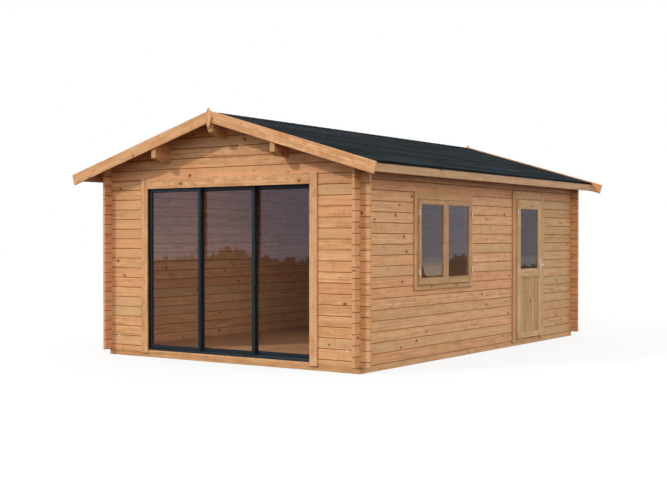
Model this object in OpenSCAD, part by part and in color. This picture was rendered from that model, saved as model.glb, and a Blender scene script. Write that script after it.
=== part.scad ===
// Log garden house: interlocking log walls on bearers, a low gable roof on three purlins,
// a sliding glass front, a casement window and a half-glazed door in the right-hand wall.
// Millimetres. Seen from the front, X runs right, Y runs to the back and Z runs up.
// The origin is the middle of the footprint, at ground level.

/* [Log walls] */
// Width over the outer faces of the side walls
house_w = 3580; // [3400:10:4200]
// Length over the outer faces of the front and back walls
house_l = 5480; // [5200:10:6500]
// Thickness of a wall log
log_t = 34; // [30:1:45]
// Height of one course of logs
log_h = 114; // [108:1:130]
// Courses of logs in a side wall
side_courses = 19; // [17:1:21]
// Length of a log's end past the outer face of the wall that it crosses
log_end = 110; // [80:5:150]
// Bevel on each long edge of a log, half of the V joint between two courses
log_bevel = 4; // [2:0.5:6]
// Width of the tongue along the top of a log
tongue_w = 12; // [8:1:14]
// Height of the tongue
tongue_h = 8; // [5:1:12]
// Gap between two seated pieces
fit = 0.3; // [0.2:0.05:0.5]

/* [Base and floor] */
// Height of the bearers under the walls
bearer_h = 62; // [50:1:80]
// Width of a bearer, with the ledge inside the wall that carries the floor
bearer_w = 70; // [64:1:100]
// Width of a floor joist
joist_w = 45; // [35:1:70]
// Largest distance between joist centres
joist_pitch = 600; // [450:10:800]
// Thickness of the floor boards
floor_t = 20; // [16:1:28]
// Gap between the floor's edge and the walls
floor_gap = 3; // [2:1:8]

/* [Roof] */
// Depth of the roof slope's cut into the highest log, at the outer face of a side wall
eave_cut = 23; // [12:1:40]
// Least height of the highest gable log under the ridge
ridge_log_h = 34; // [25:1:60]
// Pitch of the roof in degrees
roof_pitch = 16.5; // [14:0.5:20]
// Overhang of the roof boards past the side walls
eaves_over = 200; // [160:5:260]
// Overhang of the roof boards past the front and back walls
gable_over = 246; // [180:2:320]
// Thickness of the roof boards
deck_t = 18; // [15:1:28]
// Thickness of the roofing
roofing_t = 5; // [3:1:10]
// Width of a purlin
purlin_w = 65; // [50:1:80]
// Height of a purlin
purlin_h = 236; // [180:2:260]
// Distance of the side purlins from the ridge, centre to centre
purlin_x = 846; // [700:2:1000]
// Height of the bevel under each end of a purlin
bevel_h = 42; // [30:1:70]
// Length of that bevel
bevel_l = 92; // [50:1:120]
// Depth of a bargeboard, square to its length
barge_h = 125; // [100:1:160]
// Thickness of a bargeboard
barge_t = 20; // [16:1:28]
// Height of a bargeboard's top edge over the roofing
barge_rise = 14; // [5:1:30]
// Length of a bargeboard past the eaves
barge_tail = 158; // [80:2:200]
// Depth of the eaves fascia
fascia_h = 90; // [70:1:120]
// Thickness of the eaves fascia
fascia_t = 20; // [16:1:28]
// Width of the gable finial
finial_w = 96; // [70:2:140]
// Width of the finial where its point starts
finial_neck_w = 52; // [40:2:66]
// Height of the finial's point
finial_point_h = 48; // [35:1:60]
// Depth of the finial's widest place below its tip
finial_wide_drop = 103; // [75:1:130]
// Height of the gable finial
finial_h = 252; // [200:2:320]
// Thickness of the gable finial
finial_t = 20; // [16:1:28]
// Height of the finial's tip over the top of the bargeboards
finial_rise = 34; // [15:1:60]

/* [Door and window trim] */
// Thickness of the casing boards
casing_t = 18; // [14:1:22]
// Width of the door casings
door_casing_w = 98; // [80:1:110]
// Reach of a door casing below the top of the bearer
casing_drop = 15; // [5:1:30]

/* [Sliding door] */
// Clear width between the frame's jambs
slide_w = 2320; // [2000:10:2500]
// Height from the frame's clear top up to the eaves
slide_drop = 249; // [225:1:330]
// Extra width of the jamb beside the fixed panel
fixed_jamb = 50; // [40:1:70]
// Height of the casing board over the door
slide_head_h = 117; // [98:1:125]
// Width of a frame jamb
jamb_w = 35; // [28:1:50]
// Height of the frame's head
head_h = 40; // [30:1:50]
// Height of the frame's sill plate
sill_h = 22; // [16:1:30]
// Height of the running rails on the sill and head
rail_h = 6; // [4:1:10]
// Width of a running rail
rail_w = 8; // [5:1:12]
// Set-back of the frame behind the wall's outer face
frame_set = 2; // [1:1:8]
// Set-back of the first panel behind the wall's outer face
track_inset = 18; // [12:1:30]
// Distance from one track to the next
track_pitch = 46; // [42:1:60]
// Thickness of a panel
panel_t = 28; // [22:1:36]
// Width of a panel's stiles
stile_w = 40; // [34:1:60]
// Height of a panel's top and bottom rails
panel_rail = 34; // [28:1:50]
// Gap between a closed panel and the jamb
panel_gap = 5; // [5:1:10]
// Thickness of the panel glass
panel_glass_t = 8; // [6:1:12]

/* [Window] */
// Distance of the window's middle from the front wall's outer face
window_y = 1747; // [1500:1:1850]
// Width over both sashes
window_w = 1231; // [1000:1:1400]
// Height from the sashes' top edge up to the eaves
window_drop = 390; // [360:1:460]
// Height of the sashes
window_h = 947; // [800:1:960]
// Width of a sash's stiles
sash_stile = 55; // [45:1:70]
// Height of a sash's top rail
sash_top = 53; // [45:1:70]
// Height of a sash's bottom rail
sash_bottom = 70; // [55:1:90]
// Thickness of a sash
sash_t = 34; // [28:1:44]
// Gap around and between the sashes
sash_gap = 4; // [3:1:6]
// Width of the window's side casings
window_casing_w = 67; // [55:1:80]
// Height of the casing over the window
window_head_h = 81; // [60:1:90]
// Height of the casing under the window
window_apron_h = 52; // [45:1:80]
// Thickness of the window and side door glass
pane_t = 6; // [4:1:10]

/* [Side door] */
// Distance of the side door's middle from the front wall's outer face
door_y = 4013; // [3800:1:4300]
// Width of the leaf
leaf_w = 734; // [650:1:800]
// Height from the leaf's top edge up to the eaves
leaf_drop = 323; // [320:1:400]
// Thickness of the leaf
leaf_t = 32; // [28:1:44]
// Distance of the leaf's outer face in front of the wall
leaf_proud = 30; // [24:1:38]
// Gap around the leaf
leaf_gap = 8; // [6:1:10]
// Width of the leaf's stiles
leaf_stile = 96; // [80:1:120]
// Height of the leaf's top rail
leaf_top_rail = 119; // [90:1:140]
// Height of the middle rail's bottom edge above the ground
lock_rail_z = 880; // [800:1:950]
// Height of the middle rail
lock_rail_h = 103; // [90:1:130]
// Height of the leaf's bottom rail
leaf_bottom_rail = 69; // [60:1:110]
// Lap of the lining behind the leaf and the sashes
lining_lap = 15; // [10:1:20]
// Width of the lining boards
lining_w = 43; // [35:1:55]
// Clear depth between the leaf and its lining
leaf_rest = 5; // [5:1:8]
// Thickness of the boarded lower panel
board_t = 16; // [12:1:20]
// Boards across the lower panel
board_count = 6; // [5:1:8]
// Depth of the V joints between those boards
board_v = 3; // [2:0.5:5]
// Set-back of the boarded panel behind the leaf's outer face
board_set = 9; // [6:1:12]

/* [Ironmongery] */
// Radius of a hinge barrel
hinge_r = 7; // [6:0.5:9]
// Length of a whole hinge barrel
hinge_l = 70; // [50:2:90]
// Distance of a hinge's middle from the end of its leaf or sash
hinge_inset = 145; // [110:1:180]
// Width of a handle plate
plate_w = 36; // [28:1:44]
// Height of a handle plate
plate_h = 208; // [160:2:240]
// Reach of a handle plate below the lever's axis
plate_drop = 125; // [90:1:140]
// Thickness of a handle plate
plate_t = 8; // [5:1:10]
// Height of the lever's axis above the ground
lever_z = 1031; // [980:1:1060]
// Radius of the lever
lever_r = 9; // [7:0.5:11]
// Reach of the lever's bar in front of its plate
lever_reach = 48; // [40:1:60]
// Length of the lever's bar
lever_l = 118; // [100:1:130]
// Radius of the spindle that joins the two levers
spindle_r = 5; // [4:0.5:6]

/* [Hidden] */
$fn = 48;

half_w = house_w / 2;
half_l = house_l / 2;
// Overrun of a cutting solid past what it cuts
over = 20;

// Courses: side walls start with a whole log, front and back walls with half a log
wall_z = bearer_h + fit;
half_log = log_h / 2;
quarter_log = log_h / 4;
floor_z = wall_z + floor_t;

// Roof planes; doors and window hang at their set distances below the eaves
slope = tan(roof_pitch);
eave_h = wall_z + side_courses * log_h - eave_cut;
slide_top = eave_h - slide_drop;
window_sill = eave_h - window_drop - window_h;
leaf_top = eave_h - leaf_drop;
ridge_under = eave_h + slope * half_w;
roof_edge = half_w + eaves_over;
deck_l = house_l + 2 * gable_over;
deck_rise = deck_t / cos(roof_pitch);
roofing_rise = roofing_t / cos(roof_pitch);
barge_top = ridge_under + deck_rise + fit + roofing_rise + barge_rise;
barge_x = roof_edge + barge_tail;
function under(x) = ridge_under - slope * abs(x);

// Sliding door frame and its hole in the front wall
frame_w = slide_w + 2 * jamb_w;
frame_d = track_inset + 3 * track_pitch - frame_set;
frame_z = floor_z + fit;
frame_top = slide_top + head_h;
front_hole_w = frame_w + 2 * fit;
front_hole_top = frame_top + fit;
panel_z = frame_z + sill_h + rail_h + fit;
panel_h = slide_top - rail_h - fit - panel_z;
panel_run = slide_w - fixed_jamb;
panel_w = (panel_run - 2 * panel_gap + 2 * stile_w) / 3;
panel_shift = panel_w - stile_w;

// Window hole in the right-hand wall
window_clear_w = window_w - 2 * lining_lap;
window_clear_h = window_h - 2 * lining_lap;
window_lining_w = window_clear_w + 2 * lining_w;
window_lining_h = window_clear_h + 2 * lining_w;
window_lining_z = window_sill + lining_lap - lining_w;
sash_w = (window_w - sash_gap) / 2;

// Side door hole in the right-hand wall
leaf_z = floor_z + leaf_gap;
leaf_h = leaf_top - leaf_z;
leaf_back = leaf_proud - leaf_t;
door_clear_w = leaf_w - 2 * lining_lap;
door_lining_w = door_clear_w + 2 * lining_w;
door_lining_top = leaf_top - lining_lap + lining_w;
door_lining_d = log_t - (leaf_rest - leaf_back);
door_hole_w = door_lining_w + 2 * fit;
door_hole_top = door_lining_top + fit;
hinge_d = leaf_proud + fit + hinge_r;
hinge_u = door_y - leaf_w / 2 - leaf_gap / 2;
lever_u = door_y + leaf_w / 2 - leaf_stile / 2;

// How many courses there are of each kind
cross_split = floor((front_hole_top - wall_z - half_log) / log_h) + 1;
gable_count = floor((ridge_under - ridge_log_h - wall_z - half_log) / log_h) + 2;
side_split = floor((door_hole_top - wall_z) / log_h);
function cross_z0(i) = i == 0 ? wall_z : wall_z + half_log + (i - 1) * log_h;
function cross_z1(i) = wall_z + half_log + i * log_h;
function side_z0(j) = wall_z + j * log_h;
function side_z1(j) = wall_z + (j + 1) * log_h;

// Local frames: u runs along the wall to the right as seen from outside, v up, d outwards
module front_face() {
    translate([0, -half_l, 0]) rotate([90, 0, 0]) children();
}
module right_face() {
    translate([half_w, -half_l, 0]) rotate([90, 0, 90]) children();
}
module block(u, v, d, w, h, t) {
    translate([u, v, d]) cube([w, h, t]);
}

// Two stiles with rails between them, as separate straight bars around the middle u
module bar_frame(u, v, d, w, h, t, stile, top, bottom) {
    block(u - w / 2, v, d, stile, h, t);
    block(u + w / 2 - stile, v, d, stile, h, t);
    rail_l = w - 2 * (stile + fit);
    block(u - rail_l / 2, v + h - top, d, rail_l, top, t);
    if (bottom > 0) block(u - rail_l / 2, v, d, rail_l, bottom, t);
}

// Everything below the roof boards, for cutting log ends and purlins to the slope
module below_roof() {
    reach = half_w + eaves_over + over;
    rotate([90, 0, 0])
        linear_extrude(deck_l + 2 * over, center = true)
            polygon([[-reach, 0], [reach, 0], [reach, under(reach) - fit],
                     [0, ridge_under - fit], [-reach, under(reach) - fit]]);
}

// Log section: beveled long edges, a tongue on top and its groove underneath
module log_section(h) {
    mid = log_t / 2;
    groove = tongue_w / 2 + fit;
    polygon([[log_bevel, 0], [mid - groove, 0], [mid - groove, tongue_h],
             [mid + groove, tongue_h], [mid + groove, 0], [log_t - log_bevel, 0],
             [log_t, log_bevel], [log_t, h - log_bevel], [log_t - log_bevel, h],
             [mid + tongue_w / 2, h], [mid + tongue_w / 2, h + tongue_h],
             [mid - tongue_w / 2, h + tongue_h], [mid - tongue_w / 2, h],
             [log_bevel, h], [0, h - log_bevel], [0, log_bevel]]);
}
// A log along X in the front (face -1) or back (face 1) wall
module log_x(face, x0, x1, z0, z1) {
    translate([x0, face < 0 ? -half_l : half_l - log_t, z0])
        rotate([90, 0, 90]) linear_extrude(x1 - x0) log_section(z1 - z0 - fit);
}
// A log along Y in the left (face -1) or right (face 1) wall
module log_y(face, y0, y1, z0, z1) {
    translate([face < 0 ? -half_w : half_w - log_t, y1, z0])
        rotate([90, 0, 0]) linear_extrude(y1 - y0) log_section(z1 - z0 - fit);
}
// The corner notch where two logs cross, between two heights
module corner_notch(face_x, face_y, z0, z1) {
    side = log_t + 2 * fit;
    translate([face_x * (half_w - log_t / 2) - side / 2, face_y * (half_l - log_t / 2) - side / 2, z0])
        cube([side, side, z1 - z0]);
}

// Course i of the front or back wall, notched a quarter from above and below at each corner
module cross_log(i, face, x0, x1) {
    z0 = cross_z0(i);
    z1 = cross_z1(i);
    difference() {
        log_x(face, x0, x1, z0, z1);
        for (side = [-1, 1]) {
            if (i > 0) corner_notch(side, face, z0 - over, z0 + quarter_log + fit / 2);
            corner_notch(side, face, z1 - quarter_log - fit / 2, z1 + over);
        }
    }
}
// Course j of a side wall; the highest one is cut to the roof instead of notched on top
module side_log(j, face, y0, y1) {
    z0 = side_z0(j);
    z1 = side_z1(j);
    last = j == side_courses - 1;
    difference() {
        if (last) intersection() {
            log_y(face, y0, y1, z0, z1 + log_h);
            below_roof();
        } else log_y(face, y0, y1, z0, z1);
        for (end = [-1, 1]) {
            corner_notch(face, end, z0 - over, z0 + quarter_log + fit / 2);
            if (!last) corner_notch(face, end, z1 - quarter_log - fit / 2, z1 + over);
        }
    }
}

// Slots in the gable logs that the purlins pass through
module purlin_slots() {
    for (x = [-purlin_x, 0, purlin_x])
        translate([x - purlin_w / 2 - fit, -deck_l / 2, under(x) - purlin_h - fit])
            cube([purlin_w + 2 * fit, deck_l, purlin_h + ridge_under]);
}
// The highest crossing log, drawn out to the fascia as a half-height tail under the eaves
module eaves_log(i, face) {
    tail = roof_edge - fascia_t - fit;
    stub = half_w + log_end;
    difference() {
        cross_log(i, face, -tail, tail);
        for (side = [-1, 1])
            translate([side < 0 ? -tail - over : stub, face < 0 ? -half_l - over : half_l - log_t - over,
                       cross_z0(i) - over])
                cube([tail - stub + over, log_t + 2 * over, over + half_log]);
    }
}
// Logs from the lintel to the ridge
module gable_logs(face) {
    reach = half_w + log_end;
    inner = half_w - log_t - fit;
    intersection() {
        difference() {
            for (i = [cross_split : gable_count - 1]) {
                if (i < side_courses - 1) cross_log(i, face, -reach, reach);
                else if (i == side_courses - 1) eaves_log(i, face);
                else log_x(face, -inner, inner, cross_z0(i), cross_z1(i));
            }
            purlin_slots();
        }
        below_roof();
    }
}
module front_hole() {
    front_face() block(-front_hole_w / 2, 0, -log_t - over, front_hole_w, front_hole_top, log_t + 2 * over);
}
module window_hole() {
    right_face() block(window_y - window_lining_w / 2 - fit, window_lining_z - fit, -log_t - over,
                       window_lining_w + 2 * fit, window_lining_h + 2 * fit, log_t + 2 * over);
}
module door_hole() {
    right_face() block(door_y - door_hole_w / 2, 0, -log_t - over, door_hole_w, door_hole_top, log_t + 2 * over);
}

module perimeter_bearers() {
    color("saddlebrown") {
        for (face = [-1, 1])
            translate([-half_w, face < 0 ? -half_l : half_l - bearer_w, 0])
                cube([house_w, bearer_w, bearer_h]);
        for (face = [-1, 1])
            translate([face < 0 ? -half_w : half_w - bearer_w, -half_l + bearer_w + fit, 0])
                cube([bearer_w, house_l - 2 * (bearer_w + fit), bearer_h]);
    }
}
module floor_joists() {
    span = house_l - 2 * bearer_w;
    bays = ceil(span / joist_pitch);
    color("sienna")
        for (k = [1 : bays - 1])
            translate([-half_w + bearer_w + fit, -span / 2 + k * span / bays - joist_w / 2, 0])
                cube([house_w - 2 * (bearer_w + fit), joist_w, bearer_h]);
}
module floor_boards() {
    x = half_w - log_t - floor_gap;
    y = half_l - log_t - floor_gap;
    color("burlywood") translate([-x, -y, wall_z]) cube([2 * x, 2 * y, floor_t]);
}

module front_wall_left() {
    color("sandybrown")
        for (i = [0 : cross_split - 1]) cross_log(i, -1, -half_w - log_end, -front_hole_w / 2);
}
module front_wall_right() {
    color("sandybrown")
        for (i = [0 : cross_split - 1]) cross_log(i, -1, front_hole_w / 2, half_w + log_end);
}
module front_gable() {
    color("sandybrown") difference() {
        gable_logs(-1);
        front_hole();
    }
}
module back_wall() {
    reach = half_w + log_end;
    color("sandybrown")
        for (i = [0 : cross_split - 1]) cross_log(i, 1, -reach, reach);
}
module back_gable() {
    color("sandybrown") gable_logs(1);
}
module left_wall() {
    reach = half_l + log_end;
    color("peru") for (j = [0 : side_courses - 1]) side_log(j, -1, -reach, reach);
}
module right_wall_front() {
    color("peru") difference() {
        for (j = [0 : side_split - 1])
            side_log(j, 1, -half_l - log_end, -half_l + door_y - door_hole_w / 2);
        window_hole();
    }
}
module right_wall_back() {
    color("peru")
        for (j = [0 : side_split - 1])
            side_log(j, 1, -half_l + door_y + door_hole_w / 2, half_l + log_end);
}
module right_wall_top() {
    reach = half_l + log_end;
    color("peru") difference() {
        for (j = [side_split : side_courses - 1]) side_log(j, 1, -reach, reach);
        door_hole();
        window_hole();
    }
}

// A purlin from bargeboard to bargeboard, with beveled lower ends and its top cut to the roof
module purlin(x) {
    end = deck_l / 2;
    bottom = under(x) - purlin_h;
    intersection() {
        translate([x - purlin_w / 2, 0, 0])
            rotate([90, 0, 90])
                linear_extrude(purlin_w)
                    polygon([[-end + bevel_l, bottom], [end - bevel_l, bottom], [end, bottom + bevel_h],
                             [end, ridge_under], [-end, ridge_under], [-end, bottom + bevel_h]]);
        below_roof();
    }
}
module ridge_purlin() {
    color("goldenrod") purlin(0);
}
module left_purlin() {
    color("goldenrod") purlin(-purlin_x);
}
module right_purlin() {
    color("goldenrod") purlin(purlin_x);
}

// Roof pieces are drawn for the right-hand slope and mirrored for the left
module along_roof() {
    rotate([90, 0, 0]) linear_extrude(deck_l, center = true) children();
}
module on_left() {
    mirror([1, 0, 0]) children();
}
module on_back() {
    mirror([0, 1, 0]) children();
}
module roof_boards() {
    x0 = fit / 2;
    along_roof()
        polygon([[x0, under(x0)], [roof_edge, under(roof_edge)],
                 [roof_edge, under(roof_edge) + deck_rise], [x0, under(x0) + deck_rise]]);
}
// Roofing sheet, turned down over the ends of the roof boards
module roofing() {
    x0 = fit / 2;
    x1 = roof_edge + fit;
    x2 = x1 + roofing_t;
    lift = deck_rise + fit;
    along_roof()
        polygon([[x0, under(x0) + lift], [x1, under(x1) + lift], [x1, under(x1)], [x2, under(x1)],
                 [x2, under(x2) + lift + roofing_rise], [x0, under(x0) + lift + roofing_rise]]);
}
module fascia() {
    x0 = roof_edge - fascia_t;
    bottom = under(roof_edge) - fascia_h;
    along_roof()
        polygon([[x0, bottom], [roof_edge, bottom], [roof_edge, under(roof_edge) - fit], [x0, under(x0) - fit]]);
}
// Bargeboard with a plumb cut at the ridge and a square cut at its tail
module bargeboard() {
    x0 = fit / 2;
    end_z = barge_top - slope * barge_x;
    drop = barge_h / cos(roof_pitch);
    front_face() translate([0, 0, gable_over + fit])
        linear_extrude(barge_t)
            polygon([[x0, barge_top - slope * x0 - drop],
                     [barge_x - barge_h * sin(roof_pitch), end_z - barge_h * cos(roof_pitch)],
                     [barge_x, end_z], [x0, barge_top - slope * x0]]);
}
// Pointed cover over the joint of two bargeboards
module finial() {
    tip = barge_top + finial_rise;
    neck_z = tip - finial_point_h;
    wide_z = tip - finial_wide_drop;
    front_face() translate([0, 0, gable_over + barge_t + 2 * fit])
        linear_extrude(finial_t)
            polygon([[0, tip - finial_h], [finial_w / 2, wide_z], [finial_neck_w / 2, neck_z], [0, tip],
                     [-finial_neck_w / 2, neck_z], [-finial_w / 2, wide_z]]);
}
module left_roof_boards() {
    color("tan") on_left() roof_boards();
}
module right_roof_boards() {
    color("tan") roof_boards();
}
module left_roofing() {
    color("darkslategray") on_left() roofing();
}
module right_roofing() {
    color("darkslategray") roofing();
}
module front_left_bargeboard() {
    color("burlywood") on_left() bargeboard();
}
module front_right_bargeboard() {
    color("burlywood") bargeboard();
}
module back_left_bargeboard() {
    color("burlywood") on_back() on_left() bargeboard();
}
module back_right_bargeboard() {
    color("burlywood") on_back() bargeboard();
}
module front_finial() {
    color("wheat") finial();
}
module back_finial() {
    color("wheat") on_back() finial();
}
module left_fascia() {
    color("tan") on_left() fascia();
}
module right_fascia() {
    color("tan") fascia();
}

module sliding_door_casing() {
    bottom = bearer_h - casing_drop;
    color("burlywood") front_face()
        bar_frame(0, bottom, fit, slide_w + 2 * door_casing_w, slide_top + slide_head_h - bottom, casing_t,
                  door_casing_w, slide_head_h, 0);
}
// Timber sills that fill the wall's thickness under both doors, level with the floor
module door_sills() {
    color("burlywood") {
        front_face() block(-frame_w / 2, wall_z, -log_t, frame_w, floor_t, log_t);
        right_face() block(door_y - door_lining_w / 2, wall_z, -log_t, door_lining_w, floor_t, log_t);
    }
}
// Depth of the middle of track k
function track_d(k) = -track_inset - k * track_pitch - panel_t / 2;
module running_rails(v) {
    rail_l = panel_run - 2 * fit;
    for (k = [0 : 2]) block(-slide_w / 2 + fit, v, track_d(k) - rail_w / 2, rail_l, rail_h, rail_w);
}
// Aluminium frame: sill and head with three running rails each, a shallow jamb for the first
// panel to shut against, and a deep one that widens beside the fixed panel
module sliding_door_frame() {
    back = -frame_set - frame_d;
    sill_top = frame_z + sill_h;
    shut_d = track_inset + (track_pitch + panel_t) / 2 - frame_set;
    fixed_front = track_inset + 2 * track_pitch;
    color("dimgray") front_face() {
        block(-frame_w / 2, frame_z, back, frame_w, sill_h, frame_d);
        running_rails(sill_top);
        block(-frame_w / 2, slide_top, back, frame_w, head_h, frame_d);
        running_rails(slide_top - rail_h);
        jamb_h = slide_top - sill_top - 2 * fit;
        block(-frame_w / 2, sill_top + fit, -frame_set - shut_d, jamb_w, jamb_h, shut_d);
        difference() {
            block(slide_w / 2 - fixed_jamb, sill_top + fit, back, fixed_jamb + jamb_w, jamb_h, frame_d);
            block(slide_w / 2 - fixed_jamb - over, sill_top, -fixed_front,
                  fixed_jamb + over, jamb_h + over, fixed_front + over);
        }
    }
}
function panel_u(k) = -slide_w / 2 + panel_gap + panel_w / 2 + k * panel_shift;
module panel_frame(k) {
    color("slategray") front_face()
        bar_frame(panel_u(k), panel_z, track_d(k) - panel_t / 2, panel_w, panel_h, panel_t,
                  stile_w, panel_rail, panel_rail);
}
module panel_glass(k) {
    w = panel_w - 2 * (stile_w + fit);
    h = panel_h - 2 * (panel_rail + fit);
    color("lightsteelblue", 0.5) front_face()
        block(panel_u(k) - w / 2, panel_z + panel_rail + fit, track_d(k) - panel_glass_t / 2, w, h, panel_glass_t);
}
module left_panel_frame() {
    panel_frame(0);
}
module left_panel_glass() {
    panel_glass(0);
}
module middle_panel_frame() {
    panel_frame(1);
}
module middle_panel_glass() {
    panel_glass(1);
}
module right_panel_frame() {
    panel_frame(2);
}
module right_panel_glass() {
    panel_glass(2);
}

module window_casing() {
    inner_h = window_h + 2 * sash_gap;
    color("burlywood") right_face()
        bar_frame(window_y, window_sill - sash_gap - window_apron_h, fit,
                  window_w + 2 * (sash_gap + window_casing_w), inner_h + window_head_h + window_apron_h,
                  casing_t, window_casing_w, window_head_h, window_apron_h);
}
module window_lining() {
    color("tan") right_face()
        bar_frame(window_y, window_lining_z, -log_t, window_lining_w, window_lining_h, log_t,
                  lining_w, lining_w, lining_w);
}
function sash_u(side) = window_y + side * (sash_w + sash_gap) / 2;
module window_sashes() {
    color("wheat") right_face()
        for (side = [-1, 1])
            bar_frame(sash_u(side), window_sill, fit, sash_w, window_h, sash_t, sash_stile, sash_top, sash_bottom);
}
module window_glass() {
    w = sash_w - 2 * (sash_stile + fit);
    h = window_h - sash_top - sash_bottom - 2 * fit;
    color("lightsteelblue", 0.5) right_face()
        for (side = [-1, 1])
            block(sash_u(side) - w / 2, window_sill + sash_bottom + fit, fit + (sash_t - pane_t) / 2, w, h, pane_t);
}
// Hinge barrel that stands in front of the gap, on a short neck from the face behind it
module hinge_barrel(u, v, d, length, neck_u, neck_d) {
    translate([u, v, d]) rotate([-90, 0, 0]) cylinder(r = hinge_r, h = length);
    block(min(u, neck_u), v, neck_d, abs(u - neck_u), length, d - neck_d);
}
module window_hinges() {
    d = fit + sash_t + fit + hinge_r;
    reach = window_w / 2 + sash_gap / 2;
    color("lightgray") right_face()
        for (side = [-1, 1], v = [window_sill + hinge_inset, window_sill + window_h - hinge_inset])
            hinge_barrel(window_y + side * reach, v - hinge_l / 2, d, hinge_l,
                         window_y + side * (reach + sash_gap / 2 + hinge_r), casing_t + 2 * fit);
}

module side_door_casing() {
    bottom = bearer_h - casing_drop;
    inner_w = leaf_w + 2 * leaf_gap;
    color("burlywood") right_face()
        bar_frame(door_y, bottom, fit, inner_w + 2 * door_casing_w, leaf_top + leaf_gap + door_casing_w - bottom,
                  casing_t, door_casing_w, door_casing_w, 0);
}
module side_door_lining() {
    color("tan") right_face()
        bar_frame(door_y, floor_z + fit, -log_t, door_lining_w, door_lining_top - floor_z - fit, door_lining_d,
                  lining_w, lining_w, 0);
}
module spindle_bore() {
    translate([lever_u, lever_z, leaf_back - over]) cylinder(r = spindle_r + fit, h = leaf_t + 2 * over);
}
module side_door_leaf() {
    rail_l = leaf_w - 2 * (leaf_stile + fit);
    color("wheat") right_face() difference() {
        union() {
            bar_frame(door_y, leaf_z, leaf_back, leaf_w, leaf_h, leaf_t,
                      leaf_stile, leaf_top_rail, leaf_bottom_rail);
            block(door_y - rail_l / 2, lock_rail_z, leaf_back, rail_l, lock_rail_h, leaf_t);
        }
        spindle_bore();
    }
}
// Tongued boards under the middle rail, with a V joint between one board and the next
module side_door_boards() {
    w = leaf_w - 2 * (leaf_stile + fit);
    bottom = leaf_z + leaf_bottom_rail + fit;
    pitch = w / board_count;
    joints = [for (k = [1 : board_count - 1], step = [-1, 0, 1])
              [k * pitch + step * board_v, step == 0 ? board_v : 0]];
    color("burlywood") right_face()
        translate([door_y - w / 2, lock_rail_z - fit, leaf_proud - board_set])
            rotate([90, 0, 0])
                linear_extrude(lock_rail_z - fit - bottom)
                    mirror([0, 1]) polygon(concat([[0, 0]], joints, [[w, 0], [w, board_t], [0, board_t]]));
}
module side_door_glass() {
    w = leaf_w - 2 * (leaf_stile + fit);
    bottom = lock_rail_z + lock_rail_h + fit;
    color("lightsteelblue", 0.5) right_face()
        block(door_y - w / 2, bottom, leaf_back + (leaf_t - pane_t) / 2, w,
              leaf_top - leaf_top_rail - fit - bottom, pane_t);
}
hinge_heights = [leaf_z + hinge_inset, (leaf_z + leaf_top) / 2, leaf_top - hinge_inset];
// Lower half of each hinge, carried by the casing
module side_door_hinge_pins() {
    color("lightgray") right_face()
        for (v = hinge_heights)
            hinge_barrel(hinge_u, v - hinge_l / 2, hinge_d, (hinge_l - fit) / 2,
                         hinge_u - leaf_gap / 2 - hinge_r, casing_t + 2 * fit);
}
// Upper half of each hinge, carried by the leaf
module side_door_hinge_knuckles() {
    color("silver") right_face()
        for (v = hinge_heights)
            hinge_barrel(hinge_u, v + fit / 2, hinge_d, (hinge_l - fit) / 2,
                         hinge_u + leaf_gap / 2 + hinge_r, leaf_proud + fit);
}
module handle_plates() {
    color("silver") right_face() difference() {
        for (d = [leaf_proud + fit, leaf_back - fit - plate_t])
            block(lever_u - plate_w / 2, lever_z - plate_drop, d, plate_w, plate_h, plate_t);
        spindle_bore();
    }
}
// Two levers on one spindle, pointing to the hinges
module lever(d0, d1) {
    translate([lever_u, lever_z, min(d0, d1)]) cylinder(r = lever_r, h = abs(d1 - d0));
    translate([lever_u, lever_z, d1]) sphere(r = lever_r);
    translate([lever_u - lever_l, lever_z, d1]) rotate([0, 90, 0]) cylinder(r = lever_r, h = lever_l);
    translate([lever_u - lever_l, lever_z, d1]) sphere(r = lever_r);
}
module handle_lever() {
    outer = leaf_proud + plate_t + 2 * fit;
    inner = leaf_back - plate_t - 2 * fit;
    color("gainsboro") right_face() {
        lever(outer, outer + lever_reach);
        lever(inner, inner - lever_reach);
        translate([lever_u, lever_z, inner - lever_r]) cylinder(r = spindle_r, h = outer - inner + 2 * lever_r);
    }
}

perimeter_bearers();
floor_joists();
floor_boards();
front_wall_left();
front_wall_right();
front_gable();
back_wall();
back_gable();
left_wall();
right_wall_front();
right_wall_back();
right_wall_top();
ridge_purlin();
left_purlin();
right_purlin();
left_roof_boards();
right_roof_boards();
left_roofing();
right_roofing();
front_left_bargeboard();
front_right_bargeboard();
back_left_bargeboard();
back_right_bargeboard();
front_finial();
back_finial();
left_fascia();
right_fascia();
sliding_door_casing();
door_sills();
sliding_door_frame();
left_panel_frame();
left_panel_glass();
middle_panel_frame();
middle_panel_glass();
right_panel_frame();
right_panel_glass();
window_casing();
window_lining();
window_sashes();
window_glass();
window_hinges();
side_door_casing();
side_door_lining();
side_door_leaf();
side_door_boards();
side_door_glass();
side_door_hinge_pins();
side_door_hinge_knuckles();
handle_plates();
handle_lever();
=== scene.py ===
"""Looks of a log garden house: its timber, glass, metal and roofing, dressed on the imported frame."""
import logging
import math
import random
from dataclasses import dataclass, replace
from enum import Enum
from typing import Any, Iterable, Optional, Union

import bmesh
import bpy
from mathutils import Matrix, Vector


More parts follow.
